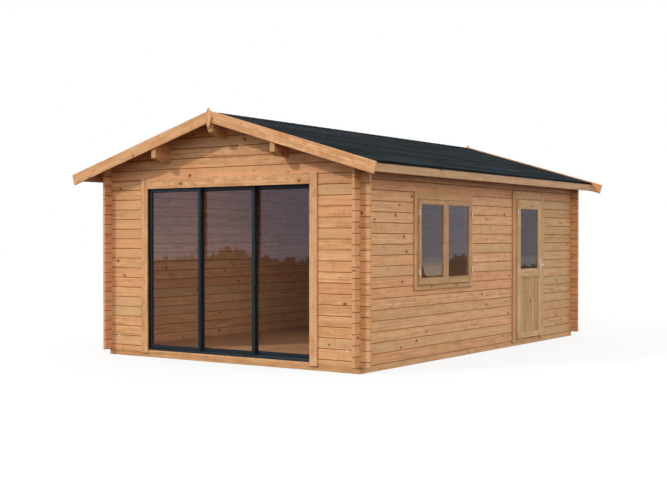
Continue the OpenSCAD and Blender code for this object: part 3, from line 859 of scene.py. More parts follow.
class Carpenter:
    """Makes meshes for new pieces and copies of CAD bars with eased edges."""

    FLAT_ANGLE = math.radians(1.0)
    SHARP_ANGLE = math.radians(25.0)
    STEEP = 0.8
    END_DEPTH = 0.05 * MM
    RIM_ROUND = 0.7
    RIM_SEGMENTS = 3
    DISC_SEGMENTS = 20
    GRAIN_REACH = (40, 0.1, 0.1)
    LENGTH_DIGITS = 5

    @staticmethod
    def box(mesh: Mesh, low: Vector, high: Vector) -> list[Vert]:
        """Add a box.

        Args:
            mesh: The mesh it goes into.
            low: Lowest corner.
            high: Highest corner.

        Returns:
            Its corners.
        """
        middle = (Vector(high) + Vector(low)) / 2
        size = Vector(high) - Vector(low)
        matrix = Matrix.Translation(middle) @ Matrix.Diagonal((*size, 1.0))
        return bmesh.ops.create_cube(mesh, size=1.0, matrix=matrix)["verts"]

    @staticmethod
    def edges(verts: Iterable[Vert]) -> list[Edge]:
        """Edges at these vertices, each once and in the same order in each run."""
        return list(dict.fromkeys(edge for vert in verts for edge in vert.link_edges))

    @staticmethod
    def load(node: str) -> Mesh:
        """Copy the mesh of a CAD node, with its vertices joined.

        Args:
            node: The CAD node.

        Returns:
            The copy.
        """
        mesh = bmesh.new()
        mesh.from_mesh(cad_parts[node].data)
        bmesh.ops.remove_doubles(mesh, verts=mesh.verts[:], dist=WELD)
        return mesh

    @classmethod
    def solids(cls, node: str) -> list[tuple[Vector, Vector]]:
        """Find the lowest and highest corner of each separate solid of a CAD node.

        Args:
            node: The CAD node.

        Returns:
            A pair of corners for each solid.
        """
        mesh = cls.load(node)
        boxes = []
        for group in cls.islands(mesh):
            sides = list(zip(*(vert.co for vert in group)))
            boxes.append((Vector(map(min, sides)), Vector(map(max, sides))))
        mesh.free()
        return boxes

    @classmethod
    def rim(cls, mesh: Mesh, low: Vector, high: Vector, normal: Axis, width: float, near: float,
            far: float) -> None:
        """Add four strips round the inside of an upright rectangle, rounded to its middle.

        Args:
            mesh: The mesh they go into.
            low: Lowest corner of the rectangle.
            high: Highest corner.
            normal: The way that the rectangle faces, X or Y.
            width: Width of a strip.
            near: Where the strips start along the normal.
            far: Where they end.
        """
        out = 0 if normal is Axis.X else 1
        side = 1 - out
        inner = {side: (low[side] + width, high[side] - width), 2: (low.z + width, high.z - width)}
        spans = ((2, 0, low.z, inner[2][0]), (2, 1, inner[2][1], high.z),
                 (side, 0, low[side], inner[side][0]), (side, 1, inner[side][1], high[side]))
        for axis, end, start, stop in spans:
            first, last = Vector(low), Vector(high)
            if axis == side:
                first.z, last.z = inner[2]
            first[axis], last[axis] = start, stop
            first[out], last[out] = sorted((near, far))
            edge_at = inner[axis][end]
            edges = [e for e in cls.edges(cls.box(mesh, first, last))
                     if all(abs(v.co[out] - far) < TOUCH and abs(v.co[axis] - edge_at) < TOUCH
                            for v in e.verts)]
            cls.ease(mesh, edges, min(width, abs(far - near)) * cls.RIM_ROUND, cls.RIM_SEGMENTS)

    @classmethod
    def beads(cls, node: str, name: str, depth: float, stock: Stock) -> None:
        """Bead the panes of a CAD node on their inner face.

        Args:
            node: The panes.
            name: Name of the beads.
            depth: How far a bead stands in from the pane.
            stock: What the beads are made of.
        """
        mesh = bmesh.new()
        for low, high in cls.solids(node):
            cls.rim(mesh, low, high, Axis.X, BEAD_WIDTH, low.x, low.x - depth)
        cls.stamp(mesh, name)
        cls.place(mesh, name, stock)

    @classmethod
    def boards(cls, low: Vector, high: Vector, width: float, run: Axis, joint: float, face: float) -> Mesh:
        """Lay flat boards side by side, with V joints in one face.

        Args:
            low: Lowest corner of all boards together.
            high: Highest corner.
            width: Width of a board, about.
            run: The way that the boards run, X or Y.
            joint: Depth of a V joint.
            face: Height of the face with the joints.

        Returns:
            The boards.
        """
        along = 0 if run is Axis.X else 1
        across = 1 - along
        count = round((high[across] - low[across]) / width)
        pitch = (high[across] - low[across]) / count
        mesh = bmesh.new()
        for number in range(count):
            first, last = Vector(low), Vector(high)
            start = low[across] + number * pitch
            first[across], last[across] = start, start + pitch
            edges = [e for e in cls.edges(cls.box(mesh, first, last))
                     if all(abs(v.co.z - face) < MM for v in e.verts)
                     and abs(e.verts[0].co[along] - e.verts[1].co[along]) > pitch]
            cls.ease(mesh, edges, joint, segments=1)
        return mesh

    @classmethod
    def disc(cls, mesh: Mesh, middle: Vector, normal: Axis, radius: float, height: float) -> None:
        """Add a round head that stands on a face.

        Args:
            mesh: The mesh it goes into.
            middle: Its middle on the face.
            normal: The way that the face looks, X or Y.
            radius: Radius of the head.
            height: How far it stands out, below 0 for the other way.
        """
        turn = Matrix.Rotation(math.pi / 2, 4, "Y" if normal is Axis.X else "X")
        place = Matrix.Translation(middle + normal.value * height / 2) @ turn
        bmesh.ops.create_cone(mesh, cap_ends=True, segments=cls.DISC_SEGMENTS, radius1=radius, radius2=radius,
                              depth=abs(height), matrix=place)

    @staticmethod
    def ease(mesh: Mesh, edges: list[Edge], width: float, segments: int = 2) -> None:
        """Round edges over by a width."""
        bmesh.ops.bevel(mesh, geom=edges, offset=width, offset_type="OFFSET", affect="EDGES",
                        segments=segments, profile=0.5, material=-1, clamp_overlap=True)

    @staticmethod
    def islands(mesh: Mesh) -> list[list[Vert]]:
        """Group the vertices of each separate bar.

        Args:
            mesh: The mesh.

        Returns:
            A list of vertices for each bar.
        """
        left = set(mesh.verts)
        groups = []
        for start in mesh.verts:
            if start not in left:
                continue
            left.discard(start)
            group = [start]
            for vert in group:
                for edge in vert.link_edges:
                    other = edge.other_vert(vert)
                    if other in left:
                        left.discard(other)
                        group.append(other)
            groups.append(group)
        return groups

    @classmethod
    def stamp(cls, mesh: Mesh, name: str, run: Optional[Axis] = None) -> None:
        """Write each bar's grain, tone and end faces as attributes.

        Args:
            mesh: The mesh.
            name: Seeds the bars' tones.
            run: The way of the grain, or None for the way of each bar's longest edge.
        """
        place = mesh.verts.layers.float_vector.new("grain")
        tone = mesh.verts.layers.float.new("tone")
        ends = mesh.verts.layers.float.new("ends")
        draw = random.Random(name)
        for group in cls.islands(mesh):
            along = run.value if run else cls._longest(group)
            helper = Axis.Z.value if abs(along.z) < cls.STEEP else Axis.X.value
            side = along.cross(helper).normalized()
            up = side.cross(along).normalized()
            start = group[0].co.copy()
            shift = Vector([draw.uniform(0, reach) for reach in cls.GRAIN_REACH])
            shade = draw.random()
            low = min(v.co.dot(along) for v in group)
            high = max(v.co.dot(along) for v in group)
            for vert in group:
                offset = vert.co - start
                vert[place] = Vector((offset.dot(along), offset.dot(up), offset.dot(side))) + shift
                vert[tone] = shade
                at = vert.co.dot(along)
                vert[ends] = 1.0 if min(at - low, high - at) < cls.END_DEPTH else 0.0

    @classmethod
    def _longest(cls, group: list[Vert]) -> Vector:
        """Direction of a bar's longest edge."""
        edge = max(cls.edges(group), key=lambda e: round(e.calc_length(), cls.LENGTH_DIGITS))
        return (edge.verts[1].co - edge.verts[0].co).normalized()

    @staticmethod
    def place(mesh: Mesh, name: str, stock: Stock, replaced: Iterable[str] = (),
              smooth: bool = False) -> None:
        """Turn a mesh into a finished piece.

        Args:
            mesh: The mesh, which is freed.
            name: The piece's name.
            stock: What it is made of.
            replaced: CAD nodes that it stands for.
            smooth: True for smooth shading.
        """
        for face in mesh.faces:
            face.smooth = smooth
        piece = to_thing(mesh, name, stock.material)
        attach(piece, stock.body.value)
        for node in replaced:
            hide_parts(node)
        LOG.info("%s: %d faces on %s", name, len(piece.data.polygons), stock.body.value)

    @classmethod
    def eased_copy(cls, node: str, name: str, stock: Stock, run: Optional[Axis] = None) -> None:
        """Copy a CAD node with its edges eased, and show the copy in its place.

        Args:
            node: The CAD node.
            name: The piece's name.
            stock: What it is made of.
            run: The way of the grain, or None for the way of each bar's longest edge.
        """
        mesh = cls.load(node)
        bmesh.ops.dissolve_limit(mesh, angle_limit=cls.FLAT_ANGLE, verts=mesh.verts[:], edges=mesh.edges[:])
        sharp = [e for e in mesh.edges if len(e.link_faces) == 2 and e.calc_face_angle() > cls.SHARP_ANGLE]
        cls.ease(mesh, sharp, stock.ease)
        cls.stamp(mesh, node, run)
        cls.place(mesh, name, stock, [node])


@dataclass
class LogWalls:
    """The log walls. Side walls start with a whole log, front and back walls with half a log."""

    log_height: float = 114 * MM
    cross_walls: tuple[str, ...] = (
        "front_wall_left", "front_wall_right", "front_gable", "back_wall", "back_gable")
    side_walls: tuple[str, ...] = ("left_wall", "right_wall_front", "right_wall_back", "right_wall_top")
    # Wall part whose logs take the darker copy, as painted shade
    shaded_wall: str = "right_wall_back"

    def build(self) -> None:
        """Dress each wall with logs that run its own way."""
        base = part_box("left_wall")[0].z
        for number, node in enumerate(self.cross_walls + self.side_walls):
            layout = Courses(Axis.Y, self.log_height, base, number)
            if node in self.cross_walls:
                layout = Courses(Axis.X, self.log_height, base - self.log_height / 2, number)
            logs = SHADED_LOG if node == self.shaded_wall else WALL_LOG
            dress([node], logs.material(layout, node))


@dataclass
class Base:
    """Bearers, joists and the boarded floor."""

    bearer_ease: float = 3 * MM
    joist_ease: float = 2 * MM
    board_width: float = 90 * MM
    joint: float = 2.5 * MM

    def build(self) -> None:
        """Ease the bearers, and lay floor boards from front to back."""
        bearer = Stock(Slot.BEARER, BEARER.material(Bars(), "base"), self.bearer_ease)
        Carpenter.eased_copy("perimeter_bearers", "bearers", bearer)
        Carpenter.eased_copy("floor_joists", "joists", replace(bearer, ease=self.joist_ease))
        low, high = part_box("floor_boards")
        mesh = Carpenter.boards(low, high, self.board_width, Axis.Y, self.joint, high.z)
        Carpenter.stamp(mesh, "floor", Axis.Y)
        floor = Stock(Slot.FLOOR, FLOORING.material(Bars(), "floor"))
        Carpenter.place(mesh, "floor_boarding", floor, ["floor_boards"])


@dataclass
class Roof:
    """Purlins, roof boards, edge trim and shingled roofing."""

    pitch: float = math.radians(16.5)
    purlin_ease: float = 3 * MM
    board_width: float = 96 * MM
    board_joint: float = 3 * MM
    row_height: float = 145 * MM
    row_stagger: int = 3
    tab_width: float = 330 * MM
    tab_gap: float = 6 * MM
    tab_thick: float = 3 * MM
    tab_sink: float = 1 * MM
    tab_lap: float = 20 * MM
    cap_width: float = 125 * MM
    cap_length: float = 150 * MM
    cap_rise: float = 1.7

    def build(self) -> None:
        """Build the roof from the purlins up."""
        timber = Stock(Slot.ROOF, ROOF_TIMBER.material(Bars(), "roof"), self.purlin_ease)
        trim = Stock(Slot.TRIM, TRIM_BOARD.material(Bars(), "roof_edge"), BOARD_EASE)
        # The fascias take a darker copy of the trim, as painted shade under the roof edge
        eaves = Stock(Slot.TRIM, SHADED_BOARD.material(Bars(), "roof_edge"), BOARD_EASE)
        for side in ("ridge", "left", "right"):
            Carpenter.eased_copy(f"{side}_purlin", f"purlin_{side}", timber)
        for end in ("front", "back"):
            for side in ("left", "right"):
                Carpenter.eased_copy(f"{end}_{side}_bargeboard", f"bargeboard_{end}_{side}", trim)
            Carpenter.eased_copy(f"{end}_finial", f"finial_{end}", trim, Axis.Z)
        felt = Stock(Slot.ROOFING, Felt().material())
        for side, sign in (("left", -1.0), ("right", 1.0)):
            Carpenter.eased_copy(f"{side}_fascia", f"fascia_{side}", eaves)
            self._lay_boards(side, sign, timber)
            self._lay_shingles(side, sign, felt)
        dress(["left_roofing", "right_roofing"], felt.material)
        self._lay_caps(felt)

    def _slope(self, sign: float) -> Matrix:
        """Shear that lowers a flat sheet to the slope on one side.

        Args:
            sign: 1 on the right, -1 on the left.

        Returns:
            The shear.
        """
        shear = Matrix.Identity(4)
        shear[2][0] = -sign * math.tan(self.pitch)
        return shear

    def _lay_boards(self, side: str, sign: float, timber: Stock) -> None:
        """Lay the roof boards of one side from ridge to eaves.

        Args:
            side: Name of the side.
            sign: 1 on the right, -1 on the left.
            timber: What they are made of.
        """
        node = f"{side}_roof_boards"
        low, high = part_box(node)
        inner, outer = sorted((low.x, high.x), key=abs)
        thick = (high.z - low.z) - abs(outer - inner) * math.tan(self.pitch)
        top = high.z + abs(inner) * math.tan(self.pitch)
        mesh = Carpenter.boards(Vector((low.x, low.y, top - thick)), Vector((high.x, high.y, top)),
                                self.board_width, Axis.X, self.board_joint, top - thick)
        bmesh.ops.transform(mesh, matrix=self._slope(sign), verts=mesh.verts[:])
        Carpenter.stamp(mesh, node)
        Carpenter.place(mesh, f"roof_boarding_{side}", timber, [node])

    def _lay_shingles(self, side: str, sign: float, felt: Stock) -> None:
        """Lay rows of shingle tabs over one side's roofing, each row over the top of the one below.

        Args:
            side: Name of the side.
            sign: 1 on the right, -1 on the left.
            felt: What they are made of.
        """
        low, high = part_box(f"{side}_roofing")
        reach = max(abs(low.x), abs(high.x))
        step = self.row_height * math.cos(self.pitch)
        mesh = bmesh.new()
        for row in range(math.ceil(reach / step)):
            lower = reach - row * step
            upper = max(lower - step - self.tab_lap, 0.0)
            start = low.y - (row % self.row_stagger) * self.tab_width / self.row_stagger
            while start < high.y:
                first = max(start, low.y)
                last = min(start + self.tab_width, high.y) - self.tab_gap
                start += self.tab_width
                if last - first < self.tab_gap:
                    continue
                ends = Vector((upper * sign, first, 0)), Vector((lower * sign, last, 1))
                for vert in Carpenter.box(mesh, *ends):
                    is_low = abs(vert.co.x) > (upper + lower) / 2
                    self._lift(vert, high.z, 1.0 if is_low else 0.0)
        self._place_felt(mesh, f"shingles_{side}", {sign: mesh.verts[:]}, felt)

    def _lay_caps(self, felt: Stock) -> None:
        """Lay folded caps along the ridge, each over the end of the next.

        Args:
            felt: What they are made of.
        """
        low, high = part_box("right_roofing")
        count = round((high.y - low.y) / self.cap_length)
        pitch = (high.y - low.y) / count
        mesh = bmesh.new()
        halves: dict[float, list[Vert]] = {-1.0: [], 1.0: []}
        for number in range(count):
            start = low.y + number * pitch
            for sign, verts in halves.items():
                ends = Vector((0.0, start, 0.0)), Vector((self.cap_width * sign, start + pitch, 1))
                corners = Carpenter.box(mesh, *ends)
                for vert in corners:
                    is_near = vert.co.y < start + pitch / 2
                    self._lift(vert, high.z, self.cap_rise if is_near else 1.0)
                verts.extend(corners)
        self._place_felt(mesh, "ridge_caps", halves, felt)

    def _lift(self, vert: Vert, sheet: float, share: float) -> None:
        """Set a corner of a tab: in the sheet below, or a share of the tab's thickness over it."""
        vert.co.z = sheet + (self.tab_thick * share if vert.co.z > 0.5 else -self.tab_sink)

    def _place_felt(self, mesh: Mesh, name: str, sides: dict[float, list[Vert]], felt: Stock) -> None:
        """Lower flat felt to the slope, tone it and place it.

        Args:
            mesh: The mesh.
            name: The piece's name.
            sides: Vertices by the sign of their side.
            felt: What it is made of.
        """
        for sign, verts in sides.items():
            bmesh.ops.transform(mesh, matrix=self._slope(sign), verts=verts)
        bmesh.ops.recalc_face_normals(mesh, faces=mesh.faces[:])
        Carpenter.stamp(mesh, name, Axis.Y)
        Carpenter.place(mesh, name, felt)


@dataclass
class SlidingDoor:
    """Casing, dark aluminium frame and three glazed panels."""

    metal_ease: float = 1.2 * MM
    gasket_width: float = 3 * MM
    gasket_depth: float = 5 * MM
    panels: tuple[tuple[str, Body], ...] = (
        ("left_panel", Body.LEFT_PANEL), ("middle_panel", Body.MIDDLE_PANEL), ("right_panel", Body.HOUSE))

    def build(self, glass: Material, rubber: Material) -> None:
        """Ease the casing and the frames, and glaze the panels.

        Args:
            glass: Material of the panes.
            rubber: Material of the gaskets.
        """
        trim = Stock(Slot.TRIM, TRIM_BOARD.material(Bars(), "sliding_door"), BOARD_EASE)
        coat = Stock(Slot.ALUMINIUM, POWDER_COAT.material(), self.metal_ease)
        Carpenter.eased_copy("sliding_door_casing", "slide_casing", trim)
        Carpenter.eased_copy("door_sills", "sills", trim)
        Carpenter.eased_copy("sliding_door_frame", "slide_frame", coat)
        for panel, body in self.panels:
            Carpenter.eased_copy(f"{panel}_frame", f"{panel}_bars", replace(coat, body=body))
            dress([f"{panel}_glass"], glass)
            mesh = bmesh.new()
            for low, high in Carpenter.solids(f"{panel}_glass"):
                for face, depth in ((low.y, -self.gasket_depth), (high.y, self.gasket_depth)):
                    Carpenter.rim(mesh, low, high, Axis.Y, self.gasket_width, face, face + depth)
            Carpenter.place(mesh, f"{panel}_gasket", Stock(Slot.ALUMINIUM, rubber, body=body))


@dataclass
class CasementWindow:
    """Casing, lining and two sashes, beaded inside, with a black rubber seal where they meet that paints the
    shade in the gap between them.
    """

    bead_depth: float = 11 * MM
    gap_shade_width: float = 3.4 * MM
    gap_shade_set: float = 4 * MM

    def build(self, glass: Material, plate: Material, rubber: Material) -> None:
        """Ease the timber, glaze the sashes and fill the gap between them with a black seal, as painted
        shade.

        Args:
            glass: Material of the panes.
            plate: Material of the hinges.
            rubber: Material of the seal, whose black paints the shade in the gap between the sashes.
        """
        # Casing and lining take a darker copy of the trim, as painted shade on the side wall
        trim = Stock(Slot.TRIM, SHADED_CASING.material(Bars(), "window"), BOARD_EASE)
        joinery = Stock(Slot.JOINERY, JOINERY.material(Bars(), "window"), BOARD_EASE)
        Carpenter.eased_copy("window_casing", "casing_window", trim)
        Carpenter.eased_copy("window_lining", "lining_window", replace(trim, ease=LINING_EASE))
        Carpenter.eased_copy("window_sashes", "sashes", joinery)
        dress(["window_glass"], glass)
        dress(["window_hinges"], plate)
        Carpenter.beads("window_glass", "window_beads", self.bead_depth, joinery)
        # A black strip in the gap between the sashes: painted shade where they meet
        low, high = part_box("window_sashes")
        middle = (low.y + high.y) / 2
        mesh = bmesh.new()
        Carpenter.box(mesh, Vector((low.x, middle - self.gap_shade_width / 2, low.z)),
                      Vector((high.x - self.gap_shade_set, middle + self.gap_shade_width / 2, high.z)))
        Carpenter.place(mesh, "sash_gap_shade", Stock(Slot.JOINERY, rubber))


@dataclass
class SideDoor:
    """Casing, lining and the half-glazed leaf with its lock."""

    bead_depth: float = 10 * MM
    board_count: int = 6
    # Width of the painted shade along one edge of each board
    board_joint: float = 4.5 * MM
    board_ease: float = 0.8 * MM
    board_seed: int = 30
    plate_ease: float = 1.5 * MM
    cylinder_drop: float = 72 * MM
    cylinder_radius: float = 8.5 * MM
    cylinder_tail: float = 20 * MM
    cylinder_width: float = 10 * MM
    cylinder_proud: float = 3 * MM
    screw_radius: float = 3.6 * MM
    screw_proud: float = 1 * MM
    screw_inset: float = 14 * MM

    def build(self, glass: Material, plate: Material, steel: Material) -> None:
        """Ease the timber, glaze the leaf and fit its lock.

        Args:
            glass: Material of the pane.
            plate: Material of the hinges.
            steel: Material of the handle.
        """
        # Casing and lining take a darker copy of the trim, as painted shade on the side wall
        trim = Stock(Slot.TRIM, SHADED_CASING.material(Bars(), "side_door"), BOARD_EASE)
        leaf = Stock(Slot.JOINERY, DOOR_LEAF.material(Bars(), "side_door"), BOARD_EASE, Body.SIDE_DOOR)
        joinery = replace(leaf, material=JOINERY.material(Bars(), "side_door"))
        lock = Stock(Slot.METAL, steel, self.plate_ease, Body.SIDE_DOOR)
        Carpenter.eased_copy("side_door_casing", "casing_door", trim)
        Carpenter.eased_copy("side_door_lining", "lining_door", replace(trim, ease=LINING_EASE))
        Carpenter.eased_copy("side_door_leaf", "door_leaf", leaf)
        low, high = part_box("side_door_boards")
        width = (high.y - low.y) / self.board_count
        layout = Courses(Axis.Z, width, low.y, self.board_seed, self.board_joint)
        boards = replace(leaf, material=JOINERY.material(layout, "door_boards"), ease=self.board_ease)
        Carpenter.eased_copy("side_door_boards", "door_boards", boards)
        Carpenter.eased_copy("handle_plates", "lock_plates", lock)
        dress(["side_door_glass"], glass)
        dress(["side_door_hinge_pins", "side_door_hinge_knuckles"], plate)
        dress(["handle_lever"], steel)
        Carpenter.beads("side_door_glass", "door_beads", self.bead_depth, joinery)
        self._fit_lock(lock)

    def _fit_lock(self, lock: Stock) -> None:
        """Put a lock cylinder and two screws on each handle plate.

        Args:
            lock: What they are made of.
        """
        mesh = bmesh.new()
        for low, high in Carpenter.solids("handle_plates"):
            outside = (low.x + high.x) / 2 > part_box("side_door_glass")[0].x
            face, way = (high.x, 1.0) if outside else (low.x, -1.0)
            middle = (low.y + high.y) / 2
            keyhole = high.z - self.cylinder_drop - (high.z - low.z) / 2
            proud = self.cylinder_proud * way
            Carpenter.disc(mesh, Vector((face, middle, keyhole)), Axis.X, self.cylinder_radius, proud)
            ends = sorted((face, face + proud))
            half = self.cylinder_width / 2
            Carpenter.box(mesh, Vector((ends[0], middle - half, keyhole - self.cylinder_tail)),
                          Vector((ends[1], middle + half, keyhole)))
            for height in (low.z + self.screw_inset, high.z - self.screw_inset):
                screw = Vector((face, middle, height))
                Carpenter.disc(mesh, screw, Axis.X, self.screw_radius, self.screw_proud * way)
        Carpenter.place(mesh, "lock_cylinders", lock)


@dataclass
class Fixings:
    """Capped bolts at the foot of the front wall, and nails in the casings."""

    bolt_x: float = 1.63
    bolt_z: float = 226 * MM
    bolt_radius: float = 13 * MM
    bolt_flat: float = 0.5
    bolt_segments: tuple[int, int] = (24, 12)
    nail_radius: float = 3.5 * MM
    nail_head: float = 0.8 * MM
    nail_inset: float = 22 * MM
    nail_pitch: float = 0.40

    def build(self, plate: Material) -> None:
        """Set the bolts and the nails.

        Args:
            plate: Material of the nails.
        """
        mesh = bmesh.new()
        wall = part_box("front_wall_left")[0].y
        round_about, up = self.bolt_segments
        for side in (-1.0, 1.0):
            place = Matrix.Translation((side * self.bolt_x, wall, self.bolt_z))
            bmesh.ops.create_uvsphere(mesh, u_segments=round_about, v_segments=up, radius=self.bolt_radius,
                                      matrix=place @ Matrix.Diagonal((1.0, self.bolt_flat, 1.0, 1.0)))
        Carpenter.place(mesh, "anchor_bolts", Stock(Slot.METAL, BOLT_CAP.material()), smooth=True)
        mesh = bmesh.new()
        self._nail(mesh, "sliding_door_casing", Axis.Y)
        self._nail(mesh, "window_casing", Axis.X)
        self._nail(mesh, "side_door_casing", Axis.X)
        Carpenter.place(mesh, "casing_nails", Stock(Slot.METAL, plate))

    def _nail(self, mesh: Mesh, node: str, normal: Axis) -> None:
        """Nail the bars of a casing along both long edges.

        Args:
            mesh: The mesh that the nails go into.
            node: The casing.
            normal: The way that it faces, X outwards or Y, where outwards is down the axis.
        """
        out, side, head = (0, 1, self.nail_head) if normal is Axis.X else (1, 0, -self.nail_head)
        for low, high in Carpenter.solids(node):
            run, across = (2, side) if high.z - low.z > high[side] - low[side] else (side, 2)
            length = high[run] - low[run] - 2 * self.nail_inset
            count = max(2, round((high[run] - low[run]) / self.nail_pitch))
            middle = Vector((0.0, 0.0, 0.0))
            middle[out] = high[out] if normal is Axis.X else low[out]
            for number in range(count):
                middle[run] = low[run] + self.nail_inset + number * length / (count - 1)
                for edge in (low[across] + self.nail_inset, high[across] - self.nail_inset):
                    middle[across] = edge
                    Carpenter.disc(mesh, middle, normal, self.nail_radius, head)


# Colour of the darkest painted reflections, on cards and mats
DARK_SHADE = (0.20, 0.18, 0.12)


@dataclass(frozen=True)
class Card:
    """An upright glowing studio card that only mirrors and panes see: a painted reflection of the outdoors in
    the glass.

    Attributes:
        name: Its name.
        start: Place of one end on the floor.
        stop: Place of the other end.
        tops: Heights of its top edge, from one end to the other.
        shade: Its colour.
        rough: How far the top edge goes up and down.
        foot: Height of its bottom edge.
        steps: Points along the top edge.
    """

    name: str
    start: Span
    stop: Span
    tops: tuple[float, ...]
    shade: Colour = DARK_SHADE
    rough: float = 0.0
    foot: float = 0.0
    steps: int = 160

    def build(self) -> None:
        """Stand the card up."""
        draw = random.Random(self.name)
        swell = [draw.uniform(-self.rough, self.rough) for _ in range(self.steps + 1)]
        mesh = bmesh.new()
        bmesh.ops.create_grid(mesh, x_segments=self.steps, y_segments=1, size=0.5)
        for vert in mesh.verts:
            share = vert.co.x + 0.5
            ground = Vector(self.start).lerp(Vector(self.stop), share)
            top = self._top(share) + swell[round(share * self.steps)]
            vert.co = (ground.x, ground.y, top if vert.co.y > 0.0 else self.foot)
        Studio.mirror_only(mesh, self.name, self.shade)

    def _top(self, share: float) -> float:
        """Height of the top edge at a share of the way along it.

        Args:
            share: Share of the way.

        Returns:
            The height.
        """
        place = share * (len(self.tops) - 1)
        before = min(int(place), len(self.tops) - 2)
        return self.tops[before] + (place - before) * (self.tops[before + 1] - self.tops[before])


@dataclass(frozen=True)
class Mat:
    """A flat glowing mat on the floor that only mirrors and panes see: a painted reflection of dark ground in
    the glass.
    """

    name: str
    low: Span
    high: Span
    height: float = 2 * MM
    shade: Colour = DARK_SHADE

    def build(self) -> None:
        """Lay the mat."""
        low, high = Vector((*self.low, self.height)), Vector((*self.high, self.height))
        size = high - low
        matrix = Matrix.Translation((low + high) / 2) @ Matrix.Diagonal((size.x, size.y, 1.0, 1.0))
        mesh = bmesh.new()
        bmesh.ops.create_grid(mesh, x_segments=1, y_segments=1, size=0.5, matrix=matrix)
        Studio.mirror_only(mesh, self.name, self.shade)


@dataclass
class Studio:
    """White floor and background, sky light, a soft sun, a side light, a lamp for the room, glowing cards for
    painted reflections in the glass, and the camera.
    """

    sky: float = 1.00
    sky_colour: Colour = (0.97, 0.985, 1.0)
    sun: float = 1.25
    sun_way: Place = (0.428, 0.713, -0.556)
    sun_colour: Colour = (1.0, 0.965, 0.905)
    sun_angle: float = math.radians(1.6)
    side_fill: float = 0.62
    side_way: Place = (-0.70, 0.25, -0.67)
    side_angle: float = math.radians(70.0)
    room_power: float = 51.0
    room_place: Place = (1.35, 0.9, 1.10)
    room_aim: Place = (-1.75, -2.2, 0.40)
    room_cone: float = math.radians(80.0)
    room_radius: float = 0.35
    floor_half: float = 60.0
    floor_shade: Colour = (0.86, 0.86, 0.86)
    floor_glow: float = 0.80
    floor_bounce: Colour = (0.045, 0.045, 0.045)
    camera_place: Place = (8.012, -12.297, 1.3936)
    camera_turn: float = math.radians(34.447)
    camera_dip: float = math.radians(0.642)
    camera_lens: float = 60.52
    camera_sensor: float = 36.0
    cards: tuple[Union[Card, Mat], ...] = (
        Card("dark_card_front", (-5.2, -6.0), (-0.4, -6.0),
             (1.10, 1.12, 1.09, 1.11, 1.20, 1.14, 1.07, 1.04, 1.03), rough=0.075, steps=96),
        Mat("dark_mat_front", (-5.2, -6.0), (1.3, -2.9)),
        Card("dark_card_side", (5.8, 4.75), (5.8, 8.0),
             (1.04, 1.04, 1.03, 0.76, 0.67, 0.66, 0.72, 1.00, 1.06, 1.07, 1.04, 0.96, 0.83, 0.76),
             (0.38, 0.27, 0.17), rough=0.045, steps=60),
        Card("dark_card_far", (5.8, 8.0), (5.8, 12.5), (0.76, 0.76, 0.80, 0.78, 0.76, 0.76), rough=0.05,
             steps=80),
        Card("warm_card_low", (6.1, 3.0), (6.1, 8.6), (0.86, 0.86), (1.95, 1.48, 0.99)),
        Card("warm_card_middle", (6.2, 3.0), (6.2, 8.6), (0.92, 0.92), (1.36, 1.16, 0.95)),
        Card("warm_card_high", (6.3, 3.0), (6.3, 8.6), (0.99, 0.99), (1.10, 1.01, 0.93)),
        Card("warm_card_far", (6.3, 8.6), (6.3, 15.0), (0.97, 0.97), (0.78, 0.75, 0.72)),
        Card("pale_card_side", (6.4, 3.0), (6.4, 8.8), (8.0, 8.0), (0.84, 0.86, 0.90), foot=1.0),
        Card("pale_card_far", (6.4, 8.8), (6.4, 15.0), (8.0, 8.0), (0.54, 0.57, 0.62)))

    def build(self) -> None:
        """Set up everything round the house."""
        self._sky()
        self._lamp("sun", self.sun, self.sun_way, self.sun_angle, self.sun_colour)
        self._lamp("side_fill", self.side_fill, self.side_way, self.side_angle, WHITE)
        self._room_lamp()
        self._floor()
        for card in self.cards:
            card.build()
        self._camera()

    @staticmethod
    def mirror_only(mesh: Mesh, name: str, shade: Colour) -> None:
        """Put a glowing card of one colour on the stage that nothing but mirrors and panes sees, as a painted
        reflection.

        Args:
            mesh: The mesh, which is freed.
            name: Its name.
            shade: Its glowing colour, the same in any light.
        """
        graph = new_graph(name)
        graph.surface(graph.node("ShaderNodeEmission", 0, {}, {"Color": shade, "Strength": 1.0}))
        card = to_thing(mesh, name, graph.owner)
        card.visible_camera = False
        card.visible_diffuse = False
        card.visible_shadow = False

    @staticmethod
    def _show(graph: Graph, seen: Wire, unseen: Wire) -> None:
        """Show one shader to the camera, mirrors and panes, and another to all other rays."""
        parts = {0: graph.ray(*SEEN_RAYS), 1: unseen, 2: seen}
        graph.surface(graph.node("ShaderNodeMixShader", 0, {}, parts))

    def _sky(self) -> None:
        """Light the house from all round, before a white background."""
        world = bpy.data.worlds.new("sky")
        bpy.context.scene.world = world
        graph = Graph(world)
        soft = graph.node("ShaderNodeBackground", 0, {}, {"Color": self.sky_colour, "Strength": self.sky})
        white = graph.node("ShaderNodeBackground", 0, {}, {"Color": WHITE, "Strength": 1.0})
        self._show(graph, white, soft)

    @staticmethod
    def _hang(lamp: bpy.types.Light, way: Vector) -> Thing:
        """Hang up a lamp so that its light goes one way.

        Args:
            lamp: The lamp.
            way: The way of its light.

        Returns:
            The object that holds it.
        """
        holder = bpy.data.objects.new(lamp.name, lamp)
        holder.rotation_euler = way.to_track_quat("-Z", "Y").to_euler()
        bpy.context.scene.collection.objects.link(holder)
        return holder

    def _lamp(self, name: str, power: float, way: Place, angle: float, colour: Colour) -> None:
        """Add a distant lamp.

        Args:
            name: Its name.
            power: Its strength.
            way: The way that its light goes.
            angle: How wide it looks from the house.
            colour: Its colour.
        """
        lamp = bpy.data.lights.new(name, "SUN")
        lamp.energy = power
        lamp.color = colour
        lamp.angle = angle
        self._hang(lamp, Vector(way))

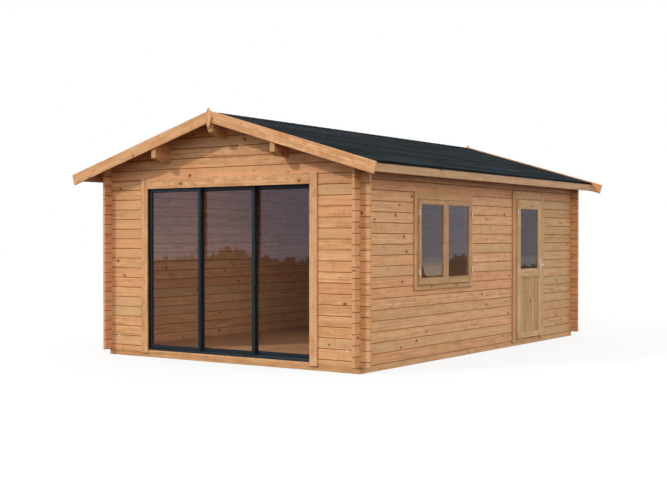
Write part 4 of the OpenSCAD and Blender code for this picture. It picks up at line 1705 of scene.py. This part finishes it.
    def _room_lamp(self) -> None:
        """Light the far wall of the room softly, from a spot lamp that isn't seen itself."""
        lamp = bpy.data.lights.new("room_lamp", "SPOT")
        lamp.spot_size = self.room_cone
        lamp.spot_blend = 1.0
        lamp.shadow_soft_size = self.room_radius
        lamp.energy = self.room_power
        holder = self._hang(lamp, Vector(self.room_aim) - Vector(self.room_place))
        holder.location = self.room_place
        holder.visible_camera = False
        holder.visible_glossy = False
        holder.visible_transmission = False

    def _floor(self) -> None:
        """Lay a white floor that keeps a faint shadow and throws little light back."""
        graph = new_graph("studio_floor")
        dim = graph.node("ShaderNodeBsdfDiffuse", 0, {}, {"Color": self.floor_bounce})
        matt = graph.node("ShaderNodeBsdfDiffuse", 0, {}, {"Color": self.floor_shade})
        glow = graph.node("ShaderNodeEmission", 0, {}, {"Color": WHITE, "Strength": 1.0})
        white = graph.node("ShaderNodeMixShader", 0, {}, {0: self.floor_glow, 1: matt, 2: glow})
        self._show(graph, white, dim)
        mesh = bmesh.new()
        bmesh.ops.create_grid(mesh, x_segments=1, y_segments=1, size=self.floor_half)
        to_thing(mesh, "studio_floor", graph.owner)

    def _camera(self) -> None:
        """Stand the camera where the photo was taken."""
        lens = bpy.data.cameras.new("photo_camera")
        lens.sensor_fit = "HORIZONTAL"
        lens.sensor_width = self.camera_sensor
        lens.lens = self.camera_lens
        camera = bpy.data.objects.new("photo_camera", lens)
        camera.location = self.camera_place
        camera.rotation_euler = (math.pi / 2 - self.camera_dip, 0.0, self.camera_turn)
        bpy.context.scene.collection.objects.link(camera)
        bpy.context.scene.camera = camera
        bpy.context.scene.view_settings.view_transform = "Standard"


def main() -> None:
    """Build the house from the ground up, then the studio round it."""
    logging.basicConfig(level=logging.INFO, format="%(message)s")
    glass = DOOR_GLASS.material()
    panes = WINDOW_GLASS.material()
    plate = ZINC.material()
    steel = SATIN_STEEL.material()
    rubber = GASKET.material()
    Base().build()
    LogWalls().build()
    Roof().build()
    SlidingDoor().build(glass, rubber)
    CasementWindow().build(panes, plate, rubber)
    SideDoor().build(panes, plate, steel)
    Fixings().build(plate)
    Studio().build()


if __name__ == "__main__":
    main()
